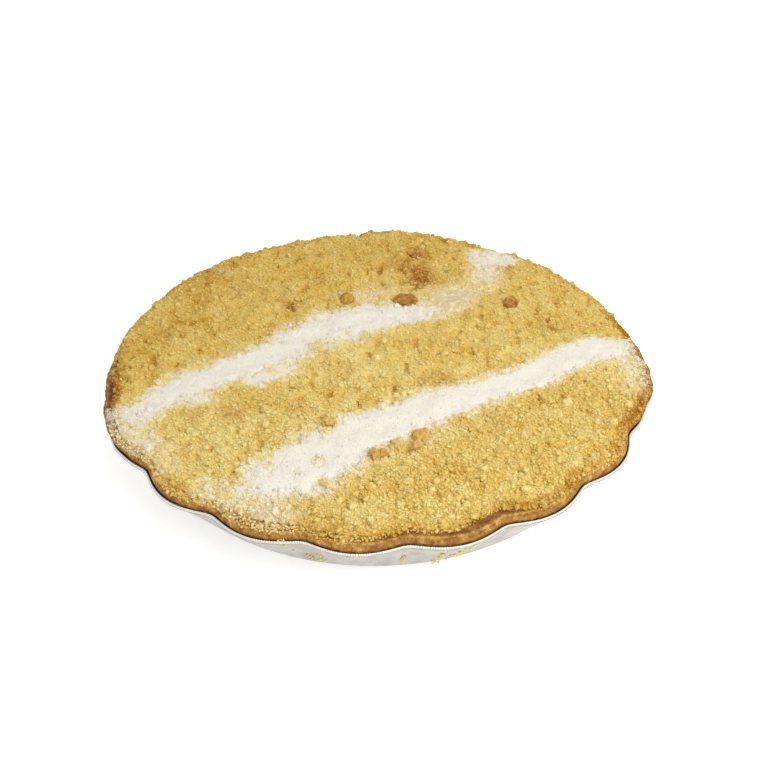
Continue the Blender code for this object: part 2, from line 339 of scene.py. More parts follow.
@dataclass(frozen=True)
class NodeTree:
    """Short calls that place and join the nodes of a material or a group."""

    tree: bpy.types.NodeTree

    def add(self, kind: str, inputs: dict | None = None, **settings: object) -> bpy.types.Node:
        """Places a node.

        Args:
            kind: the node's type, without its first word ShaderNode.
            inputs: a value, a tint, or a socket to join, for each input by name or number.
            settings: the node's own settings.

        Returns:
            The node.
        """
        node = self.tree.nodes.new("ShaderNode" + kind)
        for name, value in settings.items():
            setattr(node, name, value)
        for name, value in (inputs or {}).items():
            if isinstance(value, Socket):
                self.join(value, node.inputs[name])
            else:
                node.inputs[name].default_value = value.linear() if isinstance(value, Tint) else value
        return node

    def join(self, start: Socket, end: Socket) -> None:
        """Joins an output to an input."""
        self.tree.links.new(start, end)

    def place(self) -> Socket:
        """Object coordinates."""
        return self.add("TexCoord").outputs["Object"]

    def value(self, name: str) -> Socket:
        """A value that the mesh keeps for each point."""
        return self.add("Attribute", attribute_name=name).outputs["Fac"]

    def noise(self, place: Socket, size: float, detail: float) -> Socket:
        """Noise whose waves have the given size, around 0.5."""
        return self.add("TexNoise", {"Vector": place, "Scale": 1 / size, "Detail": detail}).outputs["Fac"]

    def remap(self, value: Socket, low: float, high: float, first: float = 0.0, last: float = 1.0) -> Socket:
        """Carries the range low to high smoothly to the range first to last, and stops at its ends."""
        inputs = {"Value": value, "From Min": low, "From Max": high, "To Min": first, "To Max": last}
        return self.add("MapRange", inputs, interpolation_type="SMOOTHSTEP").outputs["Result"]

    def facing_up(self) -> Socket:
        """How far the surface faces up, from -1 to 1."""
        normal = self.add("TexCoord").outputs["Normal"]
        return self.add("SeparateXYZ", {"Vector": normal}).outputs["Z"]

    def sum(self, operation: str, *parts: object) -> Socket:
        """A sum of one to three values or sockets, by the named operation."""
        return self.add("Math", dict(enumerate(parts)), operation=operation).outputs[0]

    def mix(self, share: object, first: object, second: object) -> Socket:
        """The first colour at a share of 0, the second at 1."""
        return self.add("Mix", {0: share, 6: first, 7: second}, data_type="RGBA").outputs[2]

    def ramp(self, value: Socket, colour: object, *steps: tuple[float, float, Tint]) -> Socket:
        """Goes from colour to colour as a value rises.

        Args:
            value: the value's socket.
            colour: the first colour, a tint or a socket.
            steps: where the next colour begins to show, where it is full, and that colour.

        Returns:
            The colour's socket.
        """
        for low, high, tint in steps:
            colour = self.mix(self.remap(value, low, high), colour, tint)
        return colour

    def shared(self, group: "SharedGroup", **inputs: object) -> bpy.types.NodeOutputs:
        """Places a shared group with the given inputs and gives its outputs."""
        return self.add("Group", {"Vector": self.place(), **inputs}, node_tree=group.tree()).outputs

    def dusted(self, colour: Socket, cover: Socket, dust: object) -> Socket:
        """The colour with dust on it, whose cover goes from 0 to 1."""
        return self.mix(self.shared(Dust(), Cover=cover, Up=self.facing_up())["Mask"], colour, dust)

    def end(
        self, shader: bpy.types.Node, colour: Socket, height: Socket, strength: float, depth: float
    ) -> None:
        """Joins the colour and a bump to a material's shader.

        Args:
            shader: the shader's node.
            colour: its colour.
            height: the bump's height.
            strength: how strong the bump is.
            depth: how deep it seems to be.
        """
        self.join(colour, shader.inputs["Base Color"])
        bump = self.add("Bump", {"Height": height, "Strength": strength, "Distance": depth})
        self.join(bump.outputs[0], shader.inputs["Normal"])


@dataclass(frozen=True)
class SharedGroup:
    """A shader node group that the finishes share. It takes Vector and the named values."""

    name: str
    inputs: tuple[str, ...]
    outputs: tuple[str, ...]

    def tree(self) -> bpy.types.NodeTree:
        """The group, made when it is asked for the first time.

        Returns:
            The group's tree.
        """
        found = bpy.data.node_groups.get(self.name)
        if found:
            return found
        group = bpy.data.node_groups.new(self.name, "ShaderNodeTree")
        group.interface.new_socket("Vector", in_out="INPUT", socket_type="NodeSocketVector")
        for side, names in (("INPUT", self.inputs), ("OUTPUT", self.outputs)):
            for name in names:
                group.interface.new_socket(name, in_out=side, socket_type="NodeSocketFloat")
        entry, leave = group.nodes.new("NodeGroupInput"), group.nodes.new("NodeGroupOutput")
        nodes = NodeTree(group)
        for name, value in self.fill(nodes, entry.outputs).items():
            nodes.join(value, leave.inputs[name])
        return group

    def fill(self, nodes: NodeTree, given: bpy.types.NodeOutputs) -> dict[str, Socket]:
        """Places the group's nodes, which work on what is given, and gives its outputs by name."""
        raise NotImplementedError


@dataclass(frozen=True)
class BakedGrain(SharedGroup):
    """The fine grain of baked dough. A Size of 1 is the grain of a crumb."""

    name: str = "baked grain"
    inputs: tuple[str, ...] = ("Size",)
    outputs: tuple[str, ...] = ("Height", "Tone")
    coarse: float = 0.0011
    fine: float = 0.00040
    fine_share: float = 0.5
    tone_reach: float = 0.22

    def fill(self, nodes: NodeTree, given: bpy.types.NodeOutputs) -> dict[str, Socket]:
        """Adds up a coarse and a fine noise.

        Args:
            nodes: short calls for the group's tree.
            given: the group's inputs.

        Returns:
            The height and the tone of the grain.
        """
        size = nodes.add("CombineXYZ", {axis: given["Size"] for axis in range(3)}).outputs[0]
        place = nodes.add("VectorMath", {0: given["Vector"], 1: size}, operation="DIVIDE").outputs[0]
        coarse = nodes.noise(place, self.coarse, detail=2.0)
        fine = nodes.noise(place, self.fine, detail=1.0)
        both = nodes.sum("MULTIPLY_ADD", fine, self.fine_share, coarse)
        middle = NOISE_MIDDLE * (1 + self.fine_share)
        return {"Height": both, "Tone": nodes.remap(both, middle - self.tone_reach, middle + self.tone_reach)}


@dataclass(frozen=True)
class Dust(SharedGroup):
    """Sifted dust: it settles on what faces up, in specks where it is thin, and closes where it is thick."""

    name: str = "sugar dust"
    inputs: tuple[str, ...] = ("Cover", "Up")
    outputs: tuple[str, ...] = ("Mask",)
    speck: float = 0.0007
    drift: float = 0.0030
    speck_share: float = 2.2
    facing_share: float = 1.3
    facing_level: float = 0.8  # how far up a face points where the dust neither gains nor loses
    facing_end: float = 1.1  # the cover from which it no longer matters where a face points
    thick_share: float = 1.9
    thin: float = 0.95
    softness: float = 0.40
    least: Row = (0.02, 0.2)  # the covers where the first specks show and where they are all there

    def fill(self, nodes: NodeTree, given: bpy.types.NodeOutputs) -> dict[str, Socket]:
        """Adds up the specks, the way a face points and the cover.

        Args:
            nodes: short calls for the group's tree.
            given: the group's inputs.

        Returns:
            The mask of the dust.
        """
        speck = nodes.noise(given["Vector"], self.speck, detail=2.0)
        drift = nodes.noise(given["Vector"], self.drift, detail=1.0)
        both = nodes.sum("SUBTRACT", nodes.sum("ADD", speck, drift), 2 * NOISE_MIDDLE)
        specks = nodes.sum("MULTIPLY", both, self.speck_share)
        bare = nodes.sum("SUBTRACT", self.facing_end, given["Cover"])
        leaning = nodes.sum("MULTIPLY", nodes.sum("SUBTRACT", given["Up"], self.facing_level), bare)
        facing = nodes.sum("MULTIPLY", leaning, self.facing_share)
        thick = nodes.sum("MULTIPLY_ADD", given["Cover"], self.thick_share, -self.thin)
        amount = nodes.sum("ADD", thick, nodes.sum("ADD", specks, facing))
        settled = nodes.remap(amount, -self.softness, self.softness)
        return {"Mask": nodes.sum("MULTIPLY", settled, nodes.remap(given["Cover"], *self.least))}


def new_material(name: str, **constants: object) -> tuple[bpy.types.Material, NodeTree, bpy.types.Node]:
    """Starts a material.

    Args:
        name: its name.
        constants: values of the shader's own sockets, with _ for a space in a socket's name.

    Returns:
        The material, its tree and its shader node.
    """
    material = bpy.data.materials.new(name)
    material.use_nodes = True
    shader = material.node_tree.nodes["Principled BSDF"]
    for socket, value in constants.items():
        shader.inputs[socket.replace("_", " ")].default_value = value
    return material, NodeTree(material.node_tree), shader


@dataclass(frozen=True)
class CrumbleFinish:
    """Dry golden crumbs, browner in places, with sifted sugar. Reads tone, browned, sugar and damp."""

    # The tone picks pale, golden or deep gold. Besides random tone it carries painted shade, deeper in
    # creases, in cracks, at each crumb's foot and towards the back left, and painted light, paler on crumbs'
    # tops and in spots in the middle.
    pale: Tint = Tint(240, 222, 150)
    golden: Tint = Tint(228, 195, 106)
    deep: Tint = Tint(204, 154, 56)
    toasted: Tint = Tint(213, 156, 74)
    browned: Tint = Tint(160, 99, 30)
    damp: Tint = Tint(212, 192, 145)
    thin_sugar: Tint = Tint(242, 231, 200)
    sugar: Tint = Tint(241, 234, 221)
    golden_range: Row = (0.1, 0.8)  # where each colour begins to show and where it is full
    deep_range: Row = (0.75, 1.3)
    browned_range: Row = (0.2, 1.2)
    damp_range: Row = (0.1, 0.9)
    sugar_range: Row = (0.35, 0.85)
    veil: float = 0.5  # share of the sugar's colour that lies between the specks
    grain_share: float = 0.32
    glow_through: float = 0.40
    glow_tint: Row = (1.0, 0.75, 0.35)
    glow_depth: float = 0.0011
    bump: Row = (0.8, 0.0004)

    def material(self) -> bpy.types.Material:
        """The crumble's material.

        Returns:
            The material.
        """
        material, nodes, shader = new_material(
            "golden crumble",
            Roughness=0.9,
            Specular_IOR_Level=0.05,
            Subsurface_Weight=self.glow_through,
            Subsurface_Radius=self.glow_tint,
            Subsurface_Scale=self.glow_depth,
        )
        grain = nodes.shared(BakedGrain(), Size=1.0)
        shade = nodes.sum("MULTIPLY_ADD", grain["Tone"], self.grain_share, nodes.value("tone"))
        steps = ((*self.golden_range, self.golden), (*self.deep_range, self.deep))
        dough = nodes.ramp(shade, self.pale, *steps)
        crust = nodes.ramp(shade, self.toasted, (*self.browned_range, self.browned))
        baked = nodes.mix(nodes.value("browned"), dough, crust)
        wet = nodes.ramp(nodes.value("damp"), baked, (*self.damp_range, self.damp))
        cover = nodes.value("sugar")
        white = nodes.ramp(cover, self.thin_sugar, (*self.sugar_range, self.sugar))
        veiled = nodes.mix(nodes.sum("MULTIPLY", cover, self.veil), wet, white)
        nodes.end(shader, nodes.dusted(veiled, cover, white), grain["Height"], *self.bump)
        return material


@dataclass(frozen=True)
class PastryFinish:
    """Baked shortcrust: tan outside, a painted highlight on its ridge, brown and painted shade inside. Reads
    bake, crumbed and sugar.
    """

    pale: Tint = Tint(206, 162, 86)
    tan: Tint = Tint(166, 120, 53)
    brown: Tint = Tint(142, 90, 44)
    dark: Tint = Tint(100, 62, 32)
    crumbs: Tint = Tint(222, 186, 100)
    sugar: Tint = Tint(226, 212, 190)
    tan_range: Row = (0.1, 0.5)  # where each colour begins to show and where it is full
    brown_range: Row = (0.55, 0.9)
    dark_range: Row = (0.95, 1.4)
    grain_size: float = 1.4
    grain_share: float = 0.4
    blotch_size: float = 0.0042
    blotch_share: float = 1.9
    bump: Row = (1.0, 0.0009)

    def material(self) -> bpy.types.Material:
        """The pastry's material.

        Returns:
            The material.
        """
        material, nodes, shader = new_material("baked shortcrust", Roughness=0.75, Specular_IOR_Level=0.3)
        grain = nodes.shared(BakedGrain(), Size=self.grain_size)
        stains = nodes.noise(nodes.place(), self.blotch_size, detail=4.0)
        blotches = nodes.sum("SUBTRACT", stains, NOISE_MIDDLE)
        shift = nodes.sum("MULTIPLY_ADD", blotches, self.blotch_share, nodes.value("bake"))
        shade = nodes.sum("MULTIPLY_ADD", grain["Tone"], self.grain_share, shift)
        baked = ((*self.tan_range, self.tan), (*self.brown_range, self.brown))
        colour = nodes.ramp(shade, self.pale, *baked, (*self.dark_range, self.dark))
        for name, tint in (("crumbed", self.crumbs), ("sugar", self.sugar)):
            colour = nodes.dusted(colour, nodes.value(name), tint)
        nodes.end(shader, colour, grain["Height"], *self.bump)
        return material


@dataclass(frozen=True)
class LumpFinish:
    """A lump of dough that stood proud of the crumble and browned. Reads bake."""

    bright: Tint = Tint(217, 175, 78)
    brown: Tint = Tint(186, 133, 44)
    dark: Tint = Tint(140, 84, 28)
    brown_range: Row = (0.60, 1.05)  # where each colour begins to show and where it is full
    dark_range: Row = (0.95, 1.35)
    grain_share: float = 0.3
    blotch_size: float = 0.0036
    blotch_share: float = 1.5
    bump: Row = (1.0, 0.0010)

    def material(self) -> bpy.types.Material:
        """The lumps' material.

        Returns:
            The material.
        """
        material, nodes, shader = new_material("browned dough", Roughness=0.6)
        grain = nodes.shared(BakedGrain(), Size=1.0)
        shift = nodes.sum("MULTIPLY_ADD", grain["Tone"], self.grain_share, nodes.value("bake"))
        blotches = nodes.noise(nodes.place(), self.blotch_size, detail=3.0)
        shade = nodes.sum("MULTIPLY_ADD", blotches, self.blotch_share, shift)
        steps = ((*self.brown_range, self.brown), (*self.dark_range, self.dark))
        colour = nodes.ramp(shade, self.bright, *steps)
        nodes.end(shader, colour, grain["Height"], *self.bump)
        return material


@dataclass(frozen=True)
class FoilFinish:
    """Bright thin aluminium with soft creases and painted reflection streaks, and a painted highlight and
    fine crimps on its rim.
    """

    rim_height: float
    # Painted reflection: the wall's colour runs between bright and dull in long upright streaks.
    bright: Tint = Tint(186, 182, 175)
    dull: Tint = Tint(164, 159, 150)
    # Painted highlight: the rim's paler tint.
    rim: Tint = Tint(240, 238, 234)
    rim_depth: float = 0.0012
    stretch: Row = (1.0, 1.0, 0.22)
    crease_size: float = 0.0032
    reflection_streak_size: float = 0.0060
    streaks: Row = (0.35, 0.70)
    roughness: Row = (0.30, 0.50)  # of the wall and of the rim
    crimps: int = 760
    crimp_share: float = 0.40
    bump: Row = (0.45, 0.0006)

    def material(self) -> bpy.types.Material:
        """The foil's material.

        Returns:
            The material.
        """
        material, nodes, shader = new_material("bright foil", Metallic=1.0)
        place = nodes.place()
        stretched = nodes.add("Mapping", {"Vector": place, "Scale": self.stretch}).outputs[0]
        creases = nodes.noise(stretched, self.crease_size, detail=3.0)
        # the streaks pick bright or dull as painted reflection
        streaks = nodes.noise(stretched, self.reflection_streak_size, detail=3.0)
        parts = nodes.add("SeparateXYZ", {"Vector": place}).outputs
        on_rim = nodes.remap(parts["Z"], self.rim_height - self.rim_depth, self.rim_height)
        wall = nodes.ramp(streaks, self.bright, (*self.streaks, self.dull))
        nodes.join(nodes.remap(on_rim, 0.0, 1.0, *self.roughness), shader.inputs["Roughness"])
        turn = nodes.sum("ARCTAN2", parts["Y"], parts["X"])
        ticks = nodes.sum("MULTIPLY", nodes.sum("SINE", nodes.sum("MULTIPLY", turn, self.crimps)), on_rim)
        height = nodes.sum("MULTIPLY_ADD", ticks, self.crimp_share, creases)
        nodes.end(shader, nodes.mix(on_rim, wall, self.rim), height, *self.bump)
        return material


@dataclass(frozen=True)
class SugarFinish:
    """Single grains of sugar. Reads tone."""

    white: Tint = Tint(240, 235, 226)
    shade: Tint = Tint(226, 216, 198)

    def material(self) -> bpy.types.Material:
        """The sugar grains' material.

        Returns:
            The material.
        """
        material, nodes, shader = new_material("white sugar", Roughness=0.7)
        nodes.join(nodes.mix(nodes.value("tone"), self.white, self.shade), shader.inputs["Base Color"])
        return material


# The pie's pieces


@dataclass(frozen=True)
class Arc:
    """Part of the pie's edge, in degrees: its middle, how far from there it is full, and where it ends."""

    middle: float
    full: float
    end: float

    def share(self, angle: np.ndarray) -> np.ndarray:
        """1 where the part is full and 0 where it has ended, for each angle in radians."""
        away = np.abs((np.degrees(angle) - self.middle + 180) % 360 - 180)
        return 1 - smooth_step(away, self.full, self.end)


def arcs(angle: np.ndarray, rows: Rows) -> np.ndarray:
    """The sum of changes at each angle. A row is a change's middle, its half width and its amount."""
    parts = [(Arc(middle, ARC_FULL * half, ARC_END * half), amount) for middle, half, amount in rows]
    return sum(amount * part.share(angle) for part, amount in parts)


@dataclass(frozen=True)
class Plan:
    """The pie from above: the tin's flutes, where it is bent, and how far the crust overhangs the tin."""

    flutes: int = 18
    flute_depth: float = 0.0049
    flute_softness: float = 0.2
    valley_angle: float = math.radians(15.4)
    flute_ease: float = 0.5  # how much shallower the flutes are away from the front
    front: Arc = Arc(-86.5, 59.5, 71.5)
    back: Arc = Arc(91, 72, 92)
    swells: Rows = (
        (100, 75, -0.0023), (38, 29, -0.0030), (68, 10, -0.0018), (106, 16, -0.0026), (-160, 8, 0.0022),
        (-7, 6, 0.0024),
    )
    most_overhang: float = 0.0038
    tip_overhang: float = 0.0020

    def flute(self, angle: np.ndarray) -> np.ndarray:
        """How far out the wall stands at each angle: 0 in a valley, 1 at a tip.

        Args:
            angle: the angles, in radians.

        Returns:
            A value from 0 to 1 for each angle.
        """
        half_wave = np.sin(self.flutes * (angle - self.valley_angle) / 2)
        reach = math.hypot(1, self.flute_softness) - self.flute_softness
        return (np.hypot(half_wave, self.flute_softness) - self.flute_softness) / reach

    def reach(self, angle: np.ndarray) -> np.ndarray:
        """How far the tin's wall stands out at the rim: its flute and where the tin is bent.

        Args:
            angle: the angles, in radians.

        Returns:
            The distance at each angle.
        """
        aside = 1 - self.front.share(angle)
        flutes = self.flute_depth * (1 - self.flute_ease * aside) * self.flute(angle)
        return flutes + arcs(angle, self.swells) * aside

    def overhang(self, angle: np.ndarray) -> np.ndarray:
        """How far the crust's lip stands out over what is in the tin: nothing at the front."""
        most = self.most_overhang - (self.most_overhang - self.tip_overhang) * self.flute(angle)
        return (1 - self.front.share(angle)) * most


@dataclass
class FoilTin:
    """The shallow fluted tin: a flat round base, a sloping wall and a rim that turns out and down."""

    plan: Plan
    diameter: float = 0.2775
    base_diameter: float = 0.225
    height: float = 0.0315
    foil: float = 0.0003
    rim_width: float = 0.00115
    rim_bend: float = 0.00025
    rim_drop: float = 0.0012
    base_corner: float = 0.003
    bend_reach: float = 0.0004
    bend_steps: int = 2
    ring_height: float = 0.0024
    columns_per_flute: int = 36
    crease_width: float = 0.0050
    crease_length: float = 0.045
    crease_depth: float = 0.00045
    crease_fall: float = 0.7
    crimp_width: float = 0.0034
    crimp_depth: float = 0.00022
    crimp_level: float = 0.5  # how far the rim is pressed down all round, as a share of that depth

    @property
    def rim_inner(self) -> float:
        """The inner edge of the rim in a valley of the flutes."""
        return self.diameter / 2 - self.rim_width - self.plan.flute_depth

    @property
    def foot(self) -> float:
        """The radius at which the wall rises from the base."""
        return self.base_diameter / 2 + self.base_corner / 2

    def wall_share(self, height: np.ndarray) -> np.ndarray:
        """What is pushed out grows from nothing at the base to its full depth at the rim."""
        full = self.height - self.rim_drop - self.base_corner
        return np.clip((height - self.base_corner) / full, 0.0, 1.0)

    def over_rim(self, places: np.ndarray, rise: float) -> np.ndarray:
        """0 up to the rim's height, 1 from the given rise over it."""
        return smooth_step(places[:, 2], self.height, self.height + rise)

    def wall_radius(self, angle: np.ndarray, height: np.ndarray) -> np.ndarray:
        """Radius of the wall's outer face at each angle and height.

        Args:
            angle: the angles, in radians.
            height: the height at each of them.

        Returns:
            The radius at each of them.
        """
        share = self.wall_share(height)
        plain = self.foot + (self.rim_inner - self.rim_bend - self.foot) * share
        return plain + self.plan.reach(angle) * share + self.foil

    def inner_face(self) -> Outline:
        """The profile of the tin's inner face, from the middle of the base to the rim's edge.

        Returns:
            Radius and height of each point.
        """
        outer = self.rim_inner + self.rim_width
        corners = [
            (0.0, self.foil),
            (self.base_diameter / 2 - self.base_corner, self.foil),
            (self.foot, self.base_corner),
            (self.rim_inner - self.rim_bend, self.height - self.rim_drop),
            (self.rim_inner + self.rim_bend, self.height),
            (outer - self.rim_bend, self.height),
            (outer, self.height - self.rim_drop),
        ]
        middle, *curve = rounded(corners, self.bend_reach, self.bend_steps)
        return [middle, *divided(curve, self.ring_height)]

    def creased(self, places: np.ndarray) -> np.ndarray:
        """Pushes the plain turned tin's flutes out, and adds the wall's soft creases and the rim's dents.

        Args:
            places: x, y and z of each point.

        Returns:
            The moved points.
        """
        angle = angle_of(places)
        share = self.wall_share(places[:, 2])
        round_rim = np.stack([np.cos(angle), np.sin(angle)], axis=1) * self.rim_inner
        streaks = np.column_stack([round_rim / self.crease_width, places[:, 2] / self.crease_length])
        crease = waves_around(streaks) * self.crease_depth * np.sin(np.pi * share) ** self.crease_fall
        moved = pushed_out(places, self.plan.reach(angle) * share + crease, self.base_corner)
        dents = np.column_stack([round_rim / self.crimp_width, places[:, 2] * 0])
        on_rim = smooth_step(radius_of(places), self.rim_inner, self.rim_inner + self.rim_width)
        moved[:, 2] += (waves_around(dents) - self.crimp_level) * self.crimp_depth * on_rim
        return moved

    def build(self, finish: FoilFinish) -> None:
        """Builds the tin with its creases and dresses it.

        Args:
            finish: the foil's finish.
        """
        shape = turned(self.inner_face(), self.plan.flutes * self.columns_per_flute, self.plan.valley_angle)
        floor = min(shape.faces, key=lambda face: face.calc_center_median().z)
        if floor.normal.z < 0:
            bmesh.ops.reverse_faces(shape, faces=shape.faces)
        move_to(shape, self.creased(places_of(shape)))
        tin = add_piece(mesh_of("fluted_foil_tin", shape), finish.material(), "foil_tin")
        sheet = tin.modifiers.new("sheet", "SOLIDIFY")
        sheet.thickness = self.foil
        sheet.offset = -1
        sheet.use_even_offset = True


@dataclass
class PastryCase:
    """The baked case and what it holds, with a raised lip that stands over the rim away from the front."""

    tin: FoilTin
    sugar: "SugarBands"
    gap: float = 0.0003
    wall_clearance: float = 0.0007
    lip_height: float = 0.0036
    lip_shoulder: float = 0.0031
    lip_brow: float = 0.0019
    lip_foot: float = 0.0009
    lip_inside: float = 0.0032
    lip_width: float = 0.0060
    ridge_inset: float = 0.45  # the ridge and the shoulder lie in from the edge by these shares of the width
    shoulder_inset: float = 0.15
    fill_height: float = 0.0012
    fill_radius: float = 0.112
    bend_reach: float = 0.0009
    bend_steps: int = 4
    ring_height: float = 0.00045
    columns_per_flute: int = 84
    brow_curve: float = 0.7
    foot_fill: float = 0.0004  # how far the crust's foot leans out to the rim
    swell_width: float = 0.008
    swell: float = 0.00045
    pit_width: float = 0.0014
    pitting: float = 0.00042
    # Painted highlight: a pale line along the lip's ridge.
    painted_ridge_highlight: Row = (0.24, 0.08)  # its inset and its half width, as shares of the lip's width
    # The inside band, browner and darkened by painted shade from the crumbs: where it begins and where it is
    # full.
    inside: Row = (0.30, 0.50)
    # The ridge's share paints a highlight, and the inside's and the foot's shares paint shade.
    bakes: Row = (0.32, -0.36, 0.42, 0.18, 0.32)  # usual, ridge, inside, foot, dark sides
    dark_sides: tuple[Arc, ...] = (Arc(-170, 14, 28), Arc(-4, 12, 30))
    crumbed: float = 0.6
    crumbed_width: float = 0.0026
    crumbed_close: float = 0.3
    sugared: Row = (0.3, 0.6)  # the sugar's share everywhere, and how much more of it the dark sides hold

    @property
    def crust_radius(self) -> float:
        """The radius in a valley of the flutes of the crust that is in the tin."""
        return self.tin.rim_inner - self.wall_clearance

    @property
    def lip_inner(self) -> float:
        """Where the lip meets the filling's slope, in a valley of the flutes."""
        return self.crust_radius - self.lip_width

    @property
    def fill_level(self) -> float:
        """Height of the flat under the crumble."""
        return self.tin.height + self.fill_height

    def edge(self, angle: np.ndarray) -> np.ndarray:
        """Radius of the crust's outermost line at each angle."""
        return self.crust_radius + self.tin.plan.reach(angle) + self.tin.plan.overhang(angle)

    def lip(self) -> Outline:
        """The lip's plain section, from the filling over the ridge to its outermost line.

        Returns:
            Radius and height of each point.
        """
        high = self.tin.height
        return [
            (self.fill_radius, self.fill_level),
            (self.lip_inner, high + self.lip_inside),
            (self.crust_radius - self.lip_width * self.ridge_inset, high + self.lip_height),
            (self.crust_radius - self.lip_width * self.shoulder_inset, high + self.lip_shoulder),
            (self.crust_radius, high + self.lip_brow),
        ]

    def push(self, radius: np.ndarray, height: np.ndarray, angle: np.ndarray) -> np.ndarray:
        """How far out each point of the plain turned case goes: nothing where the filling is.

        Args:
            radius: each point's distance from the middle.
            height: its height.
            angle: its angle.

        Returns:
            The distance for each point.
        """
        follows = self.tin.wall_share(height) * smooth_step(radius, self.fill_radius, self.lip_inner)
        foot, brow = self.tin.height + self.lip_foot, self.tin.height + self.lip_brow
        over = np.clip((height - foot) / (brow - foot), 0.0, 1.0) ** self.brow_curve
        over = over * smooth_step(radius, self.lip_inner, self.lip_inner + self.lip_width / 2)
        return self.tin.plan.reach(angle) * follows + self.tin.plan.overhang(angle) * over

    def top(self, places: np.ndarray) -> np.ndarray:
        """Height of the pastry's upper face at each place in plan.

        Args:
            places: x and y of each place.

        Returns:
            The height at each place.
        """
        radius, angle = radius_of(places), angle_of(places)
        corners = [(plain + self.push(plain, height, angle), height) for plain, height in self.lip()]
        found = np.full(len(places), corners[-1][1])
        for (start, low), (end, high) in reversed(list(zip(corners, corners[1:]))):
            share = np.clip((radius - start) / (end - start), 0.0, 1.0)
            found = np.where(radius < end, low + (high - low) * share, found)
        return found

    def section(self) -> Outline:
        """The whole plain section, from the middle of the underside to the middle of the top.

        Returns:
            Radius and height of each point.
        """
        base = self.tin.base_diameter / 2 - self.wall_clearance
        floor = self.tin.foil + self.gap
        side = [
            (base - self.tin.base_corner, floor),
            (base + self.tin.base_corner / 2, self.tin.base_corner + self.gap),
            (self.crust_radius - self.tin.rim_bend, self.tin.height - self.tin.rim_drop),
        ]
        outside = [(self.crust_radius, self.tin.height + self.lip_foot), *self.lip()[::-1]]
        lip = divided(rounded(outside, self.bend_reach, self.bend_steps)[:-1], self.ring_height)
        return [(0.0, floor), *side, *lip, outside[-1], (0.0, self.fill_level)]

    def risen(self, places: np.ndarray) -> np.ndarray:
        """Pushes the plain turned case's lip out and gives it the uneven swell of baked dough.

        Args:
            places: x, y and z of each point.

        Returns:
            The moved points.
        """
        radius = radius_of(places)
        above_rim = (places[:, 2] - self.tin.height - self.foot_fill) / self.lip_foot
        out = self.push(radius, places[:, 2], angle_of(places)) + self.foot_fill * np.exp(-(above_rim**2))
        moved = pushed_out(places, out, self.tin.base_corner)
        swell = waves_around(moved, self.swell_width) * self.swell
        swell += waves_around(moved, self.pit_width) * self.pitting
        swell *= self.tin.over_rim(places, self.lip_foot * 2)
        moved[:, 2] += swell
        moved[:, :2] *= (1 + swell / np.maximum(radius, self.fill_radius))[:, None]
        return moved

    def bake(self, places: np.ndarray) -> np.ndarray:
        """How dark each point is coloured, 0 pale to 1 dark brown: bake, painted highlight, painted shade.

        Args:
            places: x, y and z of each point.

        Returns:
            A value for each point.
        """
        inset = (self.edge(angle_of(places)) - radius_of(places)) / self.lip_width
        # painted highlight along the ridge
        line, half_width = self.painted_ridge_highlight
        ridge_highlight = np.exp(-(((inset - line) / half_width) ** 2))
        # painted shade at the lip's foot, by the gap to the tin
        low = self.tin.height + 0.5 * self.lip_foot
        foot = 1 - smooth_step(places[:, 2], low, self.tin.height + self.lip_brow)
        parts = (1, ridge_highlight, smooth_step(inset, *self.inside), foot, self.at_sides(places))
        return sum(share * part for share, part in zip(self.bakes, parts))

    def at_sides(self, places: np.ndarray) -> np.ndarray:
        """1 at the two dark sides of the crust and 0 away from them."""
        return sum(arc.share(angle_of(places)) for arc in self.dark_sides)

    def build(self, finish: PastryFinish, topping: "CrumbleTopping") -> None:
        """Builds the case and dresses it, with fine crumbs where the topping's lie.

        Args:
            finish: the pastry's finish.
            topping: the crumble, which spills over the crust.
        """
        columns = self.tin.plan.flutes * self.columns_per_flute
        shape = turned(self.section(), columns, self.tin.plan.valley_angle)
        places = self.risen(places_of(shape))
        move_to(shape, places)
        mesh = mesh_of("shortcrust_case", shape)
        over_tin = self.tin.over_rim(places, self.lip_brow)
        crumbs = self.crumbed * topping.spilled(places[:, :2], self.crumbed_width, self.crumbed_close)
        usual, more = self.sugared
        sugared = (usual + more * self.at_sides(places)) * self.sugar.cover(places[:, :2])
        set_values(mesh, bake=self.bake(places), crumbed=crumbs * over_tin, sugar=sugared * over_tin)
        add_piece(mesh, finish.material(), "pastry_case")


@dataclass(frozen=True)
class Spot:
    """A round spot of the topping, in millimetres, that fades outwards."""

    x: float
    y: float
    radius: float
    strength: float

    def share(self, places: np.ndarray) -> np.ndarray:
        """The spot's strength at each place in plan."""
        away = np.linalg.norm(places * 1000 - (self.x, self.y), axis=1) / self.radius
        return self.strength * np.exp(-(away**2))


def spotted(places: np.ndarray, rows: Rows) -> np.ndarray:
    """The sum of spots at each place in plan. A row is a spot's x and y, its radius and its strength."""
    return sum(Spot(*row).share(places) for row in rows)


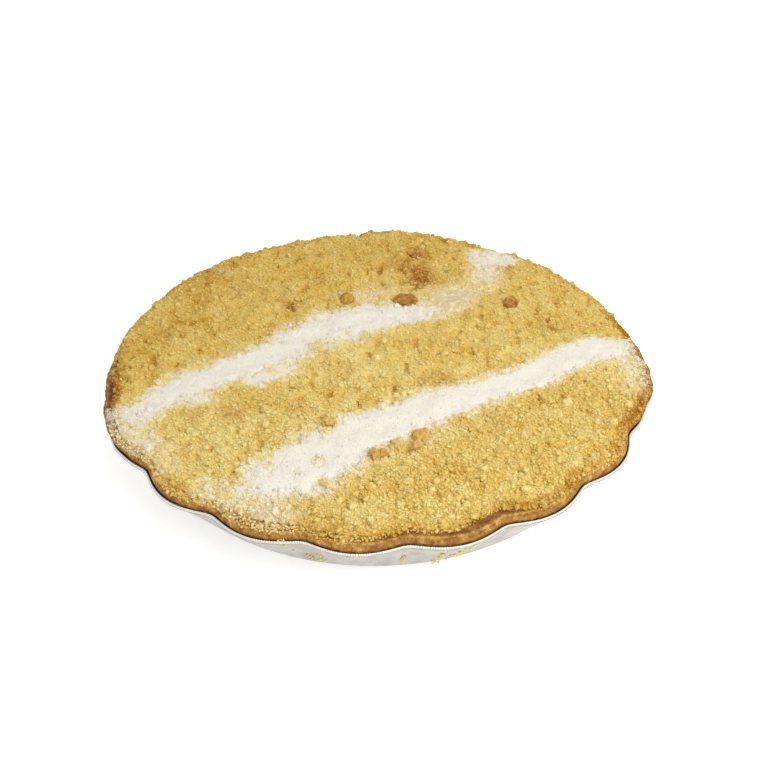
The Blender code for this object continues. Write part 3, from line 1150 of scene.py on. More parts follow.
@dataclass(frozen=True)
class SugarBands:
    """The two diagonal bands of sifted sugar and the faint dusting beside them."""

    strokes: tuple[Rows, ...] = (  # x, y, half width and strength of each point of a pass of the sifter
        (
            (-127, -44, 12, 0.55), (-112, -38, 11, 0.75), (-97, -20, 12, 0.85), (-59, -1, 14, 0.85),
            (-23, 27, 17, 0.85), (-3, 36, 16, 0.85), (28, 41, 9, 0.75), (40, 44, 8, 0.4), (52, 62, 10, 0.28),
            (59, 76, 12, 0.48), (62, 88, 11, 0.55), (59, 100, 9, 0.7), (71, 96, 9, 0.7),
        ),
        (
            (-60, -100, 10, 0.6), (-46, -91, 17, 0.95), (-35, -87, 20.5, 1), (-8, -63, 17.5, 1),
            (28, -42, 13, 1), (68, -23, 11, 1), (108, 6, 12, 1), (120, 9, 11, 0.85), (128, 0, 9, 0.5),
            (130, -16, 9, 0.42), (126, -28, 7, 0.3),
        ),
        ((-121, -50, 10, 0.55), (-108, -66, 10, 0.46), (-98, -80, 8, 0.3)),
        ((-10, 56, 10, 0.34), (6, 62, 8, 0.3)),
        ((20, -66, 10, 0.24), (34, -60, 8, 0.2)),
        ((-78, -100, 11, 0.42), (-46, -114, 12, 0.46)),
        ((-98, -27, 9, 0.68), (-87, -29, 9, 0.62)),
        ((-60, -16, 9, 0.75), (-48, -9, 9, 0.7)),
        ((26, 48, 14, 0.46), (48, 62, 15, 0.42)),
    )
    bare_spots: Rows = (
        (-29, 11, 7, 0.55), (-52, -8, 5, 0.35), (-15, 22, 4, 0.3), (-27.6, -80.9, 4.5, 0.5),
        (-50.5, -84.7, 3.5, 0.45), (-36.5, -90.1, 3.5, 0.4), (-25.4, -96.2, 4.5, 0.6), (-67, -26, 6, 0.5),
        (19, -65, 4, 0.9), (18, -73, 4, 0.9), (-1, -78, 4, 0.9), (8, -72, 4, 0.9), (-23.5, -53.5, 4, 0.8),
    )
    fade: Row = (0.30, 1.45)  # shares of its half width where a stroke begins to thin and where it has ended
    wander: Rows = ((0.009, 3.0, 0.28), (0.0028, 5.0, 0.28))

    def stroke(self, points: Rows, places: np.ndarray, wander: np.ndarray) -> np.ndarray:
        """How thick the sugar of one stroke lies.

        Args:
            points: the stroke's points.
            places: x and y of each place.
            wander: how far the stroke's edge strays there, as a share of its half width.

        Returns:
            A value from 0 for none to the stroke's strength, for each place.
        """
        best, scaled, rows = np.zeros(len(places)), places * 1000, np.array(points)
        for start, end in zip(rows, rows[1:]):
            run = (end - start)[:2]
            along = np.clip((scaled - start[:2]) @ run / (run @ run), 0.0, 1.0)
            away = np.linalg.norm(scaled - start[:2] - along[:, None] * run, axis=1)
            half, strength = start[2:, None] + (end - start)[2:, None] * along
            best = np.maximum(best, strength * (1 - smooth_step(away / half + wander, *self.fade)))
        return best

    def cover(self, places: np.ndarray) -> np.ndarray:
        """How thick the sugar lies at each place in plan, from 0 to 1.

        Args:
            places: x and y of each place.

        Returns:
            A value for each place.
        """
        wander = rippled(places, self.wander)
        thick = np.max([self.stroke(points, places, wander) for points in self.strokes], axis=0)
        for row in self.bare_spots:
            thick = thick * (1 - Spot(*row).share(places))
        return thick


@dataclass(frozen=True)
class Lump:
    """One browned lump: the solid that it replaces, its place in plan, its size and its turn in degrees."""

    node: str
    place: tuple[float, float]
    size: tuple[float, float, float]
    turn: float
    bake: float


@dataclass
class CrumbleTopping:
    """The low dome of crumble: its outline and height, and the core that carries the loose crumbs."""

    pastry: PastryCase
    sugar: SugarBands
    # The outline
    front_inset: float = 0.0058
    tip_inset: float = 0.0010
    side_inset: float = 0.0032
    back_inset: float = 0.0013
    inset_changes: Rows = ((-38, 22, -0.0028), (-67, 7, 0.0018), (-138, 16, -0.0026), (-170, 16, 0.0016))
    outline_steps: int = 2048
    outline_pattern: float = 0.4
    outline_waves: Rows = ((7, 0.28), (19, 0.14))  # how close the edge's waves are, and what they add
    # The height
    edge_rise: float = 0.0048
    shoulder_rise: float = 0.0058
    centre_rise: float = 0.0092
    shoulder_share: float = 0.94
    clumps: Row = (0.011, 0.0, 0.0011)
    clump_fade: float = 0.6
    hollows: Rows = ((24.4, 80, 7, 2.6), (25, 106.8, 5.5, 2.2), (64, 33, 8, 1))  # their strength is in mm
    lift: float = 0.0008
    skirt_sink: float = 0.0005
    # The core's relief
    core_cells: int = 306
    core_sink: float = 0.0007  # the core lies this far under the crumble's top, to carry the loose crumbs
    big_bump: Row = (0.0040, 1.5)
    big_relief: float = 0.0013
    small_bump: Row = (0.0021, 7.5)
    small_relief: float = 0.0009
    bump_level: float = 0.65
    heaps: Rows = ((0.0058, 43.0, 0.0012),)
    pits: Row = (0.0058, 41.0, 0.22, 0.52)
    pit_depth: float = 0.0020
    cracks: Rows = (  # x, y and depth in millimetres
        (85, 46, 2.4), (86, 52, 1.8), (60, 42, 2.0), (72, 25, 2.4), (23, 102, 2.8), (29, 101, 2.4),
        (4, 88, 2.2), (10.5, 103, 2.4), (18, 96, 2.2), (15.5, 84, 2.2), (13, 89, 2.0), (86, 72, 2.0),
        (-45, 50, 1.8), (-48, 41, 1.8), (-80, 80, 2.0), (-92, 77, 1.8), (-104, 38, 1.8), (-113, 7, 2.2),
        (-100, 0, 1.8), (-15.5, -18, 1.8), (74, -6, 1.8),
    )
    crack_radius: float = 2.6  # in millimetres too
    crack_ragged: Rows = ((0.0024, 61.0, 1.0),)
    holes: Row = (0.0030, 63.0, 0.42, 0.66)
    hole_depth: float = 0.0012
    edge_bumps: Row = (0.0050, 45.0, 0.2, 0.6)
    edge_bump: float = 0.0008
    edge_share: float = 0.9
    sugar_depth: float = 0.0008
    sugar_calm: float = 0.85
    damp_depth: float = 0.7
    damp_calm: float = 0.75
    crease_shares: Row = (0.6, 0.4, 0.5)  # how much the big bumps, the small bumps and the pits count
    # The colours
    # Painted shade: the core's tone is deeper in its creases.
    core_tone_and_crease_shade: Row = (0.4, 0.6)  # usual, and how much deeper in a crease
    damp_spots: Rows = ((44, 55, 10, 1.2), (33, 51, 8, 0.8), (-29.4, 11.3, 4, 0.5))
    damp_ragged: Rows = ((0.0045, 51.0, 0.7), (0.0016, 52.0, 0.4))
    damp_hides: float = 0.5  # share of the sugar that a damp patch takes up
    browned_spots: Rows = (
        (-45, 51, 6, 0.7), (-23.7, 40.4, 5, 0.7), (-24.8, -52.9, 5, 0.6), (31.3, -20.9, 7, 0.55),
        (-15.5, -11.4, 6, 0.55), (-69.8, -42.6, 7, 0.5), (63.7, -16.6, 5, 0.5), (-90, 88, 9, 0.45),
        (24.4, 80, 8, 0.9), (25, 106.8, 7, 0.6), (27.3, 72.4, 5, 0.7), (16, 92, 7, 0.45),
    )
    browned_ragged: Rows = ((0.003, 9.0, 0.8),)
    browned_drifts: Row = (0.016, 12.0, 0.25, 0.7)
    browned_drift: float = 0.28
    browned_edges: Rows = ((-2, 22, 0.7), (-170, 10, 0.6), (-52, 12, 0.3))
    browned_edge: float = 0.22
    edge_ragged: Rows = ((0.004, 14.0, 0.0018),)
    edge_band: Row = (0.0012, 0.0050)
    # Painted light: the topping is paler in these spots, given as x, y, radius and strength.
    painted_light_spots: Rows = ((-20, -5, 62, 0.18), (-84, -60, 30, 0.24))
    gold_drifts: Rows = ((0.0085, 31.0, 0.28), (0.021, 32.0, 0.32))
    # Painted shade: the gold deepens towards the back left and in the cracks, by the first two shares below.
    painted_falloff_far: Row = (0.6, -0.01, 0.11)
    gold_shares: Row = (0.16, 120, 0.5)  # how much the far side, a metre of depth and the baked edge add
    # The crumbs on it
    fine_far: Row = (0.3, -0.10, 0.02)
    fine_share: float = 0.26
    spill_changes: Rows = (
        (-40, 28, 0.7), (-66, 8, -0.8), (-112, 16, 2.1), (-138, 20, 1.6), (-169, 8, -0.85), (174, 9, 1.6),
        (155, 14, 0.6), (-4, 20, -0.85),
    )
    spill_ragged: Rows = ((0.016, 21.0, 0.5), (0.0055, 22.0, 0.45))
    spill_usual: float = 0.62
    spill_most: float = 1.9
    spill_least: float = 0.0006

    def outline(self, angle: np.ndarray) -> np.ndarray:
        """Radius of the topping's uneven edge at each angle.

        Args:
            angle: the angles, in radians.

        Returns:
            The radius at each angle.
        """
        steps = np.linspace(-math.pi, math.pi, self.outline_steps)
        around = np.column_stack([np.cos(steps), np.sin(steps), np.full(len(steps), self.outline_pattern)])
        wander = sum(amount * waves_around(around * close) for close, amount in self.outline_waves)
        plan = self.pastry.tin.plan
        at_front, at_back = plan.front.share(steps), plan.back.share(steps)
        aside = self.back_inset * at_back + self.side_inset * (1 - at_back)
        inset = (self.front_inset + self.tip_inset * plan.flute(steps)) * at_front + aside * (1 - at_front)
        inset += arcs(steps, self.inset_changes)
        return np.interp(angle, steps, self.pastry.edge(steps) - inset * (1 + wander))

    def share_out(self, places: np.ndarray) -> np.ndarray:
        """How far out each place lies: 0 in the middle, 1 on the outline."""
        return radius_of(places) / self.outline(angle_of(places))

    def top(self, places: np.ndarray) -> np.ndarray:
        """Height of the topping at each place in plan, with its clumps and hollows but no single crumbs.

        Args:
            places: x and y of each place.

        Returns:
            The height at each place.
        """
        share = np.minimum(1.0, self.share_out(places))
        fall = self.centre_rise - self.shoulder_rise
        inner = self.centre_rise - fall * (share / self.shoulder_share) ** 2
        over = np.clip((share - self.shoulder_share) / (1 - self.shoulder_share), 0.0, 1.0)
        outer = self.shoulder_rise - (self.shoulder_rise - self.edge_rise) * over**2
        rise = np.where(share < self.shoulder_share, inner, outer)
        rise += rippled(places, (self.clumps,)) * (1 - self.clump_fade * share**6)
        return self.pastry.tin.height + rise - spotted(places, self.hollows) / 1000

    def damp(self, places: np.ndarray) -> np.ndarray:
        """Where the topping is damp and smooth, from 0 to 1, with ragged edges."""
        return np.clip(spotted(places, self.damp_spots) * (1 + rippled(places, self.damp_ragged)), 0.0, 1.0)

    def browned(self, places: np.ndarray) -> np.ndarray:
        """Where the topping is browner, from 0 to 1.

        Args:
            places: x and y of each place.

        Returns:
            A value for each place.
        """
        found = spotted(places, self.browned_spots) * (1 + rippled(places, self.browned_ragged))
        drifts = self.browned_drift * patches(places, *self.browned_drifts)
        return np.clip(found + drifts + self.baked_edge(places), 0.0, 1.0)

    def baked_edge(self, places: np.ndarray) -> np.ndarray:
        """How much browner the topping is near its outline, from 0 to 1.

        Args:
            places: x and y of each place.

        Returns:
            A value for each place.
        """
        angle = angle_of(places)
        inset = self.outline(angle) - radius_of(places)
        at_edge = 1 - smooth_step(inset + rippled(places, self.edge_ragged), *self.edge_band)
        return (self.browned_edge + arcs(angle, self.browned_edges)) * at_edge

    def spilled(self, places: np.ndarray, reach: float, start: float) -> np.ndarray:
        """Where crumbs lie over the crust beyond the topping's outline.

        Args:
            places: x and y of each point.
            reach: how far crumbs lie over the crust where the spill is of full strength.
            start: the share of that reach up to which they lie close.

        Returns:
            From 1 where they lie close to 0 where there are none, for each point.
        """
        angle = angle_of(places)
        ragged = self.spill_usual + rippled(places, self.spill_ragged)
        ragged = np.clip(ragged * (1 + arcs(angle, self.spill_changes)), 0.0, self.spill_most)
        beyond = radius_of(places) - self.outline(angle)
        return 1 - smooth_step(beyond / (self.spill_least + reach * ragged), start, 1.0)

    def cracked(self, places: np.ndarray) -> np.ndarray:
        """How deep the small cracks and holes between clumps are at each place.

        Args:
            places: x and y of each place.

        Returns:
            The depth at each place.
        """
        depth = spotted(places, tuple((x, y, self.crack_radius, depth) for x, y, depth in self.cracks)) / 1000
        holes = self.hole_depth * patches(places, *self.holes)
        return depth * (1 + rippled(places, self.crack_ragged)) + holes

    def gold_and_painted_light(self, places: np.ndarray) -> np.ndarray:
        """How much deeper the gold is: painted shade at the back left and in cracks, painted light in the
        middle.

        Args:
            places: x and y of each place.

        Returns:
            What is added to the tone at each place.
        """
        parts = (far_back(places, *self.painted_falloff_far), self.cracked(places), self.baked_edge(places))
        deeper = sum(share * part for share, part in zip(self.gold_shares, parts))
        return deeper - spotted(places, self.painted_light_spots) + rippled(places, self.gold_drifts)

    def fineness(self, places: np.ndarray) -> np.ndarray:
        """How large crumbs are at each place, as a share: they lie finer towards the back and the left."""
        return 1 - self.fine_share * far_back(places, *self.fine_far)

    def core_top(self, places: np.ndarray) -> tuple[np.ndarray, np.ndarray, np.ndarray]:
        """The core's upper face.

        Args:
            places: x and y of each point.

        Returns:
            The height of each point, how much of it is sugar, and how deep it lies in a crease, from 0 to 1.
        """
        cover, damp = self.sugar.cover(places), self.damp(places)
        calm = 1 - np.maximum(self.sugar_calm * cover, self.damp_calm * damp)
        big, small = domes(places, *self.big_bump), domes(places, *self.small_bump)
        pits = patches(places, *self.pits)
        relief = self.big_relief * (big - self.bump_level) + self.small_relief * (small - self.bump_level)
        relief += rippled(places, self.heaps) - self.pit_depth * pits - self.cracked(places)
        at_edge = self.share_out(places) > self.edge_share
        relief += self.edge_bump * patches(places, *self.edge_bumps) * at_edge
        sifted = self.sugar_depth * np.maximum(cover, self.damp_depth * damp)
        in_big, in_small, in_pit = self.crease_shares
        depth = np.clip(1 - in_big * big - in_small * small + in_pit * pits, 0.0, 1.0) * calm
        return self.top(places) - self.core_sink + relief * calm + sifted, sifted, depth

    def disc_grid(self) -> Shape:
        """A square grid carried to the topping's outline, with even cells.

        Returns:
            The grid, at the height of the core's upper face.
        """
        shape = bmesh.new()
        bmesh.ops.create_grid(shape, x_segments=self.core_cells, y_segments=self.core_cells, size=1)
        u, v = places_of(shape)[:, :2].T
        wide = np.abs(u) > np.abs(v)
        safe_u, safe_v = (np.where(np.abs(side) < TIGHT, TIGHT, side) for side in (u, v))
        angle = np.where(wide, math.pi / 4 * v / safe_u, math.pi / 2 - math.pi / 4 * u / safe_v)
        across = np.column_stack([np.cos(angle), np.sin(angle)]) * np.where(wide, u, v)[:, None]
        places = across * self.outline(angle_of(across))[:, None]
        move_to(shape, np.column_stack([places, self.core_top(places)[0]]))
        return shape

    def close_below(self, shape: Shape) -> None:
        """Gives the core a skirt down to the crust and a flat underside.

        Args:
            shape: the core's upper face.
        """
        for level in ("skirt", "underside"):
            edge = [side for side in shape.edges if side.is_boundary]
            made = bmesh.ops.extrude_edge_only(shape, edges=edge)["geom"]
            ring = [item for item in made if isinstance(item, bmesh.types.BMVert)]
            places = np.array([point.co[:2] for point in ring])
            heights = self.pastry.top(places) - self.skirt_sink
            if level == "underside":
                inwards = (self.pastry.fill_radius - self.pastry.tin.base_corner) / radius_of(places)
                places = places * inwards[:, None]
                heights = np.full(len(ring), self.pastry.fill_level + self.lift)
            for point, place, height in zip(ring, places, heights):
                point.co = (*place, height)
        bmesh.ops.contextual_create(shape, geom=[side for side in shape.edges if side.is_boundary])
        bmesh.ops.recalc_face_normals(shape, faces=shape.faces)

    def build(self, finish: bpy.types.Material) -> None:
        """Builds the core and dresses it.

        Args:
            finish: the crumble's material.
        """
        shape = self.disc_grid()
        self.close_below(shape)
        places = places_of(shape)[:, :2]
        usual, deeper = self.core_tone_and_crease_shade
        # The second share paints shade into the core's creases; the gold adds more painted shade and light.
        tone = usual + deeper * self.core_top(places)[2] + self.gold_and_painted_light(places)
        damp = self.damp(places)
        sugar = self.sugar.cover(places) * (1 - self.damp_hides * damp)
        mesh = mesh_of("crumble_core", shape)
        set_values(mesh, tone=tone, browned=self.browned(places), sugar=sugar, damp=damp)
        add_piece(mesh, finish, "crumble")


@dataclass
class Scattered:
    """Many small pieces of one kind: where each lies, how large it is, and how it is coloured."""

    places: np.ndarray
    sizes: np.ndarray
    tone: np.ndarray
    browned: np.ndarray
    sugar: np.ndarray
    # Painted shade and light: a piece's tone is deeper at its foot and paler on its top.
    underside: float = 0.4  # how much deeper the tone is at a piece's foot than on its top
    deepest: float = 1.4

    def with_more(self, more: "Scattered") -> "Scattered":
        """These pieces and more of them together."""
        names = ("places", "sizes", "tone", "browned", "sugar")
        return Scattered(*(np.concatenate([getattr(self, name), getattr(more, name)]) for name in names))

    def joined(self, name: str, forms: np.ndarray, faces: np.ndarray, seed: int) -> bpy.types.Mesh:
        """Joins all the pieces into one mesh.

        Args:
            name: the mesh's name.
            forms: the points of each form that a piece may take, for a size of 1.
            faces: the points of each triangle, the same for all the forms.
            seed: picks the forms and turns.

        Returns:
            The mesh, which keeps tone, browned and sugar for each point.
        """
        draw = np.random.default_rng(seed)
        count, corners = len(self.places), forms.shape[1]
        chosen = forms[draw.integers(len(forms), size=count)]
        points = np.einsum("nij,npj->npi", random_turns(count, draw), chosen)
        points = points * self.sizes[:, None, None] + self.places[:, None, :]
        triangles = faces[None] + (np.arange(count) * corners)[:, None, None]
        mesh = bpy.data.meshes.new(name)
        mesh.from_pydata(points.reshape(-1, 3), [], triangles.reshape(-1, 3))
        # Painted shade and light: the tone deepens towards each piece's foot and pales towards its top.
        high = (points[:, :, 2] - self.places[:, None, 2]) / self.sizes[:, None]
        tone = np.clip(self.tone[:, None] - self.underside * high, 0.0, self.deepest).reshape(-1)
        browned, sugar = np.repeat(self.browned, corners), np.repeat(self.sugar, corners)
        set_values(mesh, tone=tone, browned=browned, sugar=sugar)
        return mesh


def random_turns(count: int, draw: np.random.Generator) -> np.ndarray:
    """Even random rotation matrices, from unit quaternions.

    Args:
        count: how many.
        draw: the random numbers.

    Returns:
        The matrices.
    """
    turns = draw.normal(size=(count, 4))
    w, x, y, z = (turns / np.linalg.norm(turns, axis=1, keepdims=True)).T
    rows = [
        [1 - 2 * (y * y + z * z), 2 * (x * y - z * w), 2 * (x * z + y * w)],
        [2 * (x * y + z * w), 1 - 2 * (x * x + z * z), 2 * (y * z - x * w)],
        [2 * (x * z - y * w), 2 * (y * z + x * w), 1 - 2 * (x * x + y * y)],
    ]
    return np.array(rows).transpose(2, 0, 1)


def uneven_grid(reach: float, spacing: float, stray: float, draw: np.random.Generator) -> np.ndarray:
    """Places on a square grid, each moved at random.

    Args:
        reach: how far the grid goes to each side.
        spacing: its step.
        stray: how far a place strays at most, as a share of the step.
        draw: the random numbers.

    Returns:
        x and y of each place.
    """
    steps = np.arange(-reach, reach, spacing)
    grid = np.stack(np.meshgrid(steps, steps), axis=-1).reshape(-1, 2)
    return grid + draw.uniform(-stray, stray, grid.shape) * spacing


def upper_sides(count: int, rise: float, draw: np.random.Generator) -> np.ndarray:
    """Random directions, all of them upwards, and the more so the greater the rise.

    Args:
        count: how many.
        rise: how much is added to their height.
        draw: the random numbers.

    Returns:
        x, y and z of each direction, which is 1 long.
    """
    side = draw.normal(size=(count, 3))
    side[:, 2] = np.abs(side[:, 2]) + rise
    return side / np.linalg.norm(side, axis=1, keepdims=True)


@dataclass(frozen=True)
class CrumbKind:
    """One size of loose crumb and how it is made."""

    name: str
    spacing: float
    smallest: float
    largest: float
    roundness: int
    lift: float  # share of its size that a crumb's middle lies above the core
    spill: float  # how far these lie over the crust where the spill is of full strength
    uneven: float
    seed: int
    hidden: float = 0.92  # share of these that thick sugar hides
    forms: int = 14
    lumps: float = 4.0  # how close the lumps of a form are
    form_step: float = 5.0  # how far apart the forms are in the noise that makes them
    stretch: Row = (0.78, 1.2)

    def shapes(self) -> tuple[np.ndarray, np.ndarray]:
        """The forms that a crumb of this kind may take.

        Returns:
            The points of each form for a size of 1, and the points of each triangle.
        """
        draw = np.random.default_rng(self.seed)
        forms = []
        for form in range(self.forms):
            shape = ball(self.roundness)
            points, faces = places_of(shape), corners_of(shape)
            shape.free()
            lumps = 1 + self.uneven * waves_around(points * self.lumps + form * self.form_step)
            rough = 1 + self.uneven * draw.uniform(-0.5, 0.5, len(points)) / max(1, self.roundness)
            forms.append(points * (lumps * rough)[:, None] * draw.uniform(*self.stretch, 3))
        return np.array(forms), faces


@dataclass
class LooseCrumbs:
    """The crumbs that lie on the core, spill over the crust and stick to the tin."""

    topping: CrumbleTopping
    lumps: tuple[Lump, ...]
    # Each kind: spacing, smallest, largest, roundness, lift, spill, uneven, seed and share that sugar hides
    fine: tuple[CrumbKind, ...] = (
        CrumbKind("crumb_dust", 0.00152, 0.0005, 0.0009, 0, 0.34, 0.0056, 0.6, 100, 0.7),
        CrumbKind("crumb_grains", 0.00152, 0.0008, 0.0013, 0, 0.24, 0.0048, 0.6, 101, 0.7),
        CrumbKind("fine_crumbs", 0.00235, 0.0010, 0.0016, 1, 0.16, 0.0042, 0.9, 102, 0.7),
        CrumbKind("small_crumbs", 0.00250, 0.0014, 0.0023, 1, 0.03, 0.0036, 1.0, 103, 1.0),
    )
    clusters: CrumbKind = CrumbKind("large_crumbs", 0.0064, 0.0023, 0.0036, 2, -0.08, 0.0020, 0.9, 104, 1.0)
    perched: CrumbKind = CrumbKind("perched_crumbs", 0.0, 0.22, 0.40, 0, 0.0, 0.0, 0.5, 107)
    clumps: CrumbKind = CrumbKind("clumps", 0.0170, 0.0034, 0.0050, 3, -0.05, 0.0010, 0.6, 105, 1.0)
    toasted: CrumbKind = CrumbKind("toasted_crumbs", 0.0, 0.0008, 0.0020, 1, 0.3, 0.0, 0.9, 108)
    stuck: CrumbKind = CrumbKind("stray_crumbs", 0.0, 0.0004, 0.0013, 1, 0.30, 0.0, 0.8, 106)
    # Where they lie
    stray: float = 0.55
    hidden_from: Row = (0.5, 0.95)  # covers where the sugar begins to hide crumbs and where it hides them all
    damp_hides: float = 0.88
    damp_range: Row = (0.25, 0.75)
    spill_close: float = 0.55
    edge_margin: float = 0.5
    lump_margin: float = 0.32
    sugar_sink: float = 0.6
    crust_lift: float = 0.30
    lift_spread: float = 0.08
    size_power: float = 1.6  # above 1, small crumbs are more usual
    # How they are coloured
    own_tone: Row = (0.34, 0.10)
    # Painted shade: a crumb that lies in a crease is deeper in tone.
    painted_crease_shade: float = 0.4
    browned_range: Row = (0.5, 1.0)
    dusted: Row = (1.1, 0.14)
    damp_dust: float = 0.7
    # The crumbs at places of their own
    perched_on_each: float = 8.0
    perched_reach: float = 0.44
    perched_tone: float = 0.12
    tan_clumps: Rows = (  # x, y and size in millimetres, and how browned
        (-1.2, -78.0, 6.6, 0.7), (2.0, -77.0, 4.6, 0.7), (8.0, -71.5, 5.6, 0.5), (19.0, -64.5, 6.8, 0.6),
        (21.5, -63.0, 4.8, 0.6), (18.0, -73.5, 6.0, 0.7), (-23.5, -53.5, 5.6, 0.6), (-54.0, -42.0, 4.6, 0.4),
        (-1.6, 124.5, 4.6, 0.2), (-3.6, 127.0, 4.0, 0.2), (26.0, 119.0, 5.0, 0.2), (30.0, 116.0, 4.4, 0.1),
        (27.0, 112.0, 4.4, 0.1), (12.0, 46.6, 3.6, 0.0), (16.0, 46.0, 4.0, 0.0), (20.0, 46.8, 3.6, 0.0),
        (-17.4, 49.8, 3.2, 0.1), (-13.2, 49.2, 3.2, 0.1),
    )
    toasted_heaps: Rows = (  # x, y, half width and half length in millimetres, and how many crumbs
        (24.5, 78.0, 6.0, 13.0, 240), (23.0, 105.0, 5.0, 3.0, 20), (-48.0, -122.0, 3.0, 2.5, 14),
    )
    toasted_fade: Row = (0.5, 0.3)  # less browned at a heap's edge, and deeper in its middle
    stuck_places: Rows = (  # angle in degrees and height in millimetres
        (-85, 14), (-77.5, 5), (-77, 14), (-105, 9), (-102.5, 10), (-73, 15), (-74, 10), (-108.5, 29),
        (-71, 17),
    )
    stuck_on_each: float = 14.0
    stuck_spread: Row = (0.0010, 0.0032)  # along the wall and up it
    stuck_lowest: float = 0.002

    def kept(self, kind: CrumbKind, places: np.ndarray) -> np.ndarray:
        """Which places take a crumb: few under thick sugar or where damp, none in a lump or off the pie.

        Args:
            kind: the kind of crumb.
            places: x and y of each place.

        Returns:
            True for each place that takes one.
        """
        chance = np.random.default_rng(kind.seed + 2000).random(len(places))
        bare = 1 - kind.hidden * smooth_step(self.topping.sugar.cover(places), *self.hidden_from)
        dry = 1 - self.damp_hides * smooth_step(self.topping.damp(places), *self.damp_range)
        near = self.topping.spilled(places, kind.spill, self.spill_close)
        inset = self.topping.pastry.edge(angle_of(places)) - radius_of(places)
        keep = (chance < bare * dry * near) & (inset > kind.smallest * self.edge_margin)
        for lump in self.lumps:
            keep &= np.linalg.norm(places - lump.place, axis=1) > max(lump.size) * self.lump_margin
        return keep

    def laid(self, kind: CrumbKind, places: np.ndarray, sizes: np.ndarray) -> Scattered:
        """Lays crumbs of the given sizes at their places in plan and gives each its tone.

        Args:
            kind: the kind of crumb.
            places: x and y of each place.
            sizes: how large each crumb is.

        Returns:
            How the crumbs lie and are coloured.
        """
        draw = np.random.default_rng(kind.seed + 3000)
        count, inside = len(places), self.topping.share_out(places) < 1.0
        core, sifted, depth = self.topping.core_top(places)
        ground = np.where(inside, core - self.sugar_sink * sifted, self.topping.pastry.top(places))
        lift = np.where(inside, kind.lift, self.crust_lift) + draw.normal(size=count) * self.lift_spread
        own = draw.normal(*self.own_tone, count)
        usual, spread = self.dusted
        cover = self.topping.sugar.cover(places) * (1 - self.damp_dust * self.topping.damp(places))
        return Scattered(
            places=np.column_stack([places, ground + sizes * lift]),
            sizes=sizes,
            # Painted shade in creases, cracks and at the back left, and painted light in the middle, add to
            # each crumb's own tone.
            tone=own + self.painted_crease_shade * depth + self.topping.gold_and_painted_light(places),
            sugar=np.clip((usual + draw.normal(0.0, spread, count)) * cover, 0.0, 1.0),
            browned=self.topping.browned(places) * draw.uniform(*self.browned_range, count),
        )

    def scatter(self, kind: CrumbKind) -> Scattered:
        """Lays out the crumbs of one kind, all over the topping and a little beyond it.

        Args:
            kind: the kind of crumb.

        Returns:
            How the crumbs lie and are coloured.
        """
        reach = self.topping.pastry.tin.diameter / 2
        places = uneven_grid(reach, kind.spacing, self.stray, np.random.default_rng(kind.seed + 1000))
        places = places[radius_of(places) < reach]
        places = places[self.kept(kind, places)]
        chance = np.random.default_rng(kind.seed + 5000).random(len(places))
        sizes = kind.smallest + (kind.largest - kind.smallest) * chance**self.size_power
        return self.laid(kind, places, sizes * self.topping.fineness(places))

    def perch(self, owners: Scattered) -> Scattered:
        """Sets tiny crumbs on the upper sides of larger ones.

        Args:
            owners: how the larger ones lie.

        Returns:
            How the crumbs lie and are coloured.
        """
        draw = np.random.default_rng(self.perched.seed)
        owner = np.repeat(np.arange(len(owners.sizes)), draw.poisson(self.perched_on_each, len(owners.sizes)))
        side, sizes = upper_sides(len(owner), 0.0, draw), owners.sizes[owner]
        share = draw.uniform(self.perched.smallest, self.perched.largest, len(owner))
        tone = owners.tone[owner] + draw.normal(0.0, self.perched_tone, len(owner))
        return Scattered(
            places=owners.places[owner] + side * (sizes * self.perched_reach)[:, None],
            sizes=sizes * share,
            tone=np.clip(tone, 0.0, 1.0),
            browned=owners.browned[owner],
            sugar=owners.sugar[owner],
        )

    def clumped(self) -> Scattered:
        """Lays out the clumps, with the tan ones that stand out at their own places.

        Returns:
            How the crumbs lie and are coloured.
        """
        loose, tan = self.scatter(self.clumps), np.array(self.tan_clumps)
        fixed = self.laid(self.clumps, tan[:, :2] / 1000, tan[:, 2] / 1000)
        fixed.browned = tan[:, 3]
        return loose.with_more(fixed)

    def toast(self) -> Scattered:
        """Lays out the heaps of small browned crumbs.

        Returns:
            How the crumbs lie and are coloured.
        """
        draw = np.random.default_rng(self.toasted.seed)
        heaps = np.array(self.toasted_heaps)
        heap = np.repeat(heaps, heaps[:, 4].astype(int), axis=0)
        away, angle = np.sqrt(draw.random(len(heap))), draw.uniform(0, 2 * math.pi, len(heap))
        side = np.column_stack([np.cos(angle), np.sin(angle)]) * away[:, None] * heap[:, 2:4]
        sizes = draw.uniform(self.toasted.smallest, self.toasted.largest, len(heap))
        crumbs = self.laid(self.toasted, (heap[:, :2] + side) / 1000, sizes)
        less, deeper = self.toasted_fade
        crumbs.browned = 1 - less * away**3
        crumbs.tone = crumbs.tone + deeper * (1 - away)
        return crumbs

    def on_tin(self) -> Scattered:
        """Lays out the stray crumbs that stick to the outside of the tin's wall, a few at each place.

        Returns:
            How the crumbs lie and are coloured.
        """
        draw, tin = np.random.default_rng(self.stuck.seed), self.topping.pastry.tin
        counts = 1 + draw.poisson(self.stuck_on_each, len(self.stuck_places))
        turns, heights = np.repeat(np.array(self.stuck_places), counts, axis=0).T
        aside, above = draw.normal(size=(2, len(turns))) * np.array(self.stuck_spread)[:, None]
        angle = np.radians(turns) + aside / (tin.diameter / 2)
        height = np.clip(heights / 1000 + above, self.stuck_lowest, None)
        sizes = draw.uniform(self.stuck.smallest, self.stuck.largest, len(angle))
        radius = tin.wall_radius(angle, height) + sizes * self.stuck.lift
        places = np.column_stack([radius * np.cos(angle), radius * np.sin(angle), height])
        tone, none = draw.uniform(0.0, 0.5, len(angle)), np.zeros(len(angle))
        return Scattered(places, sizes, tone, none, none)

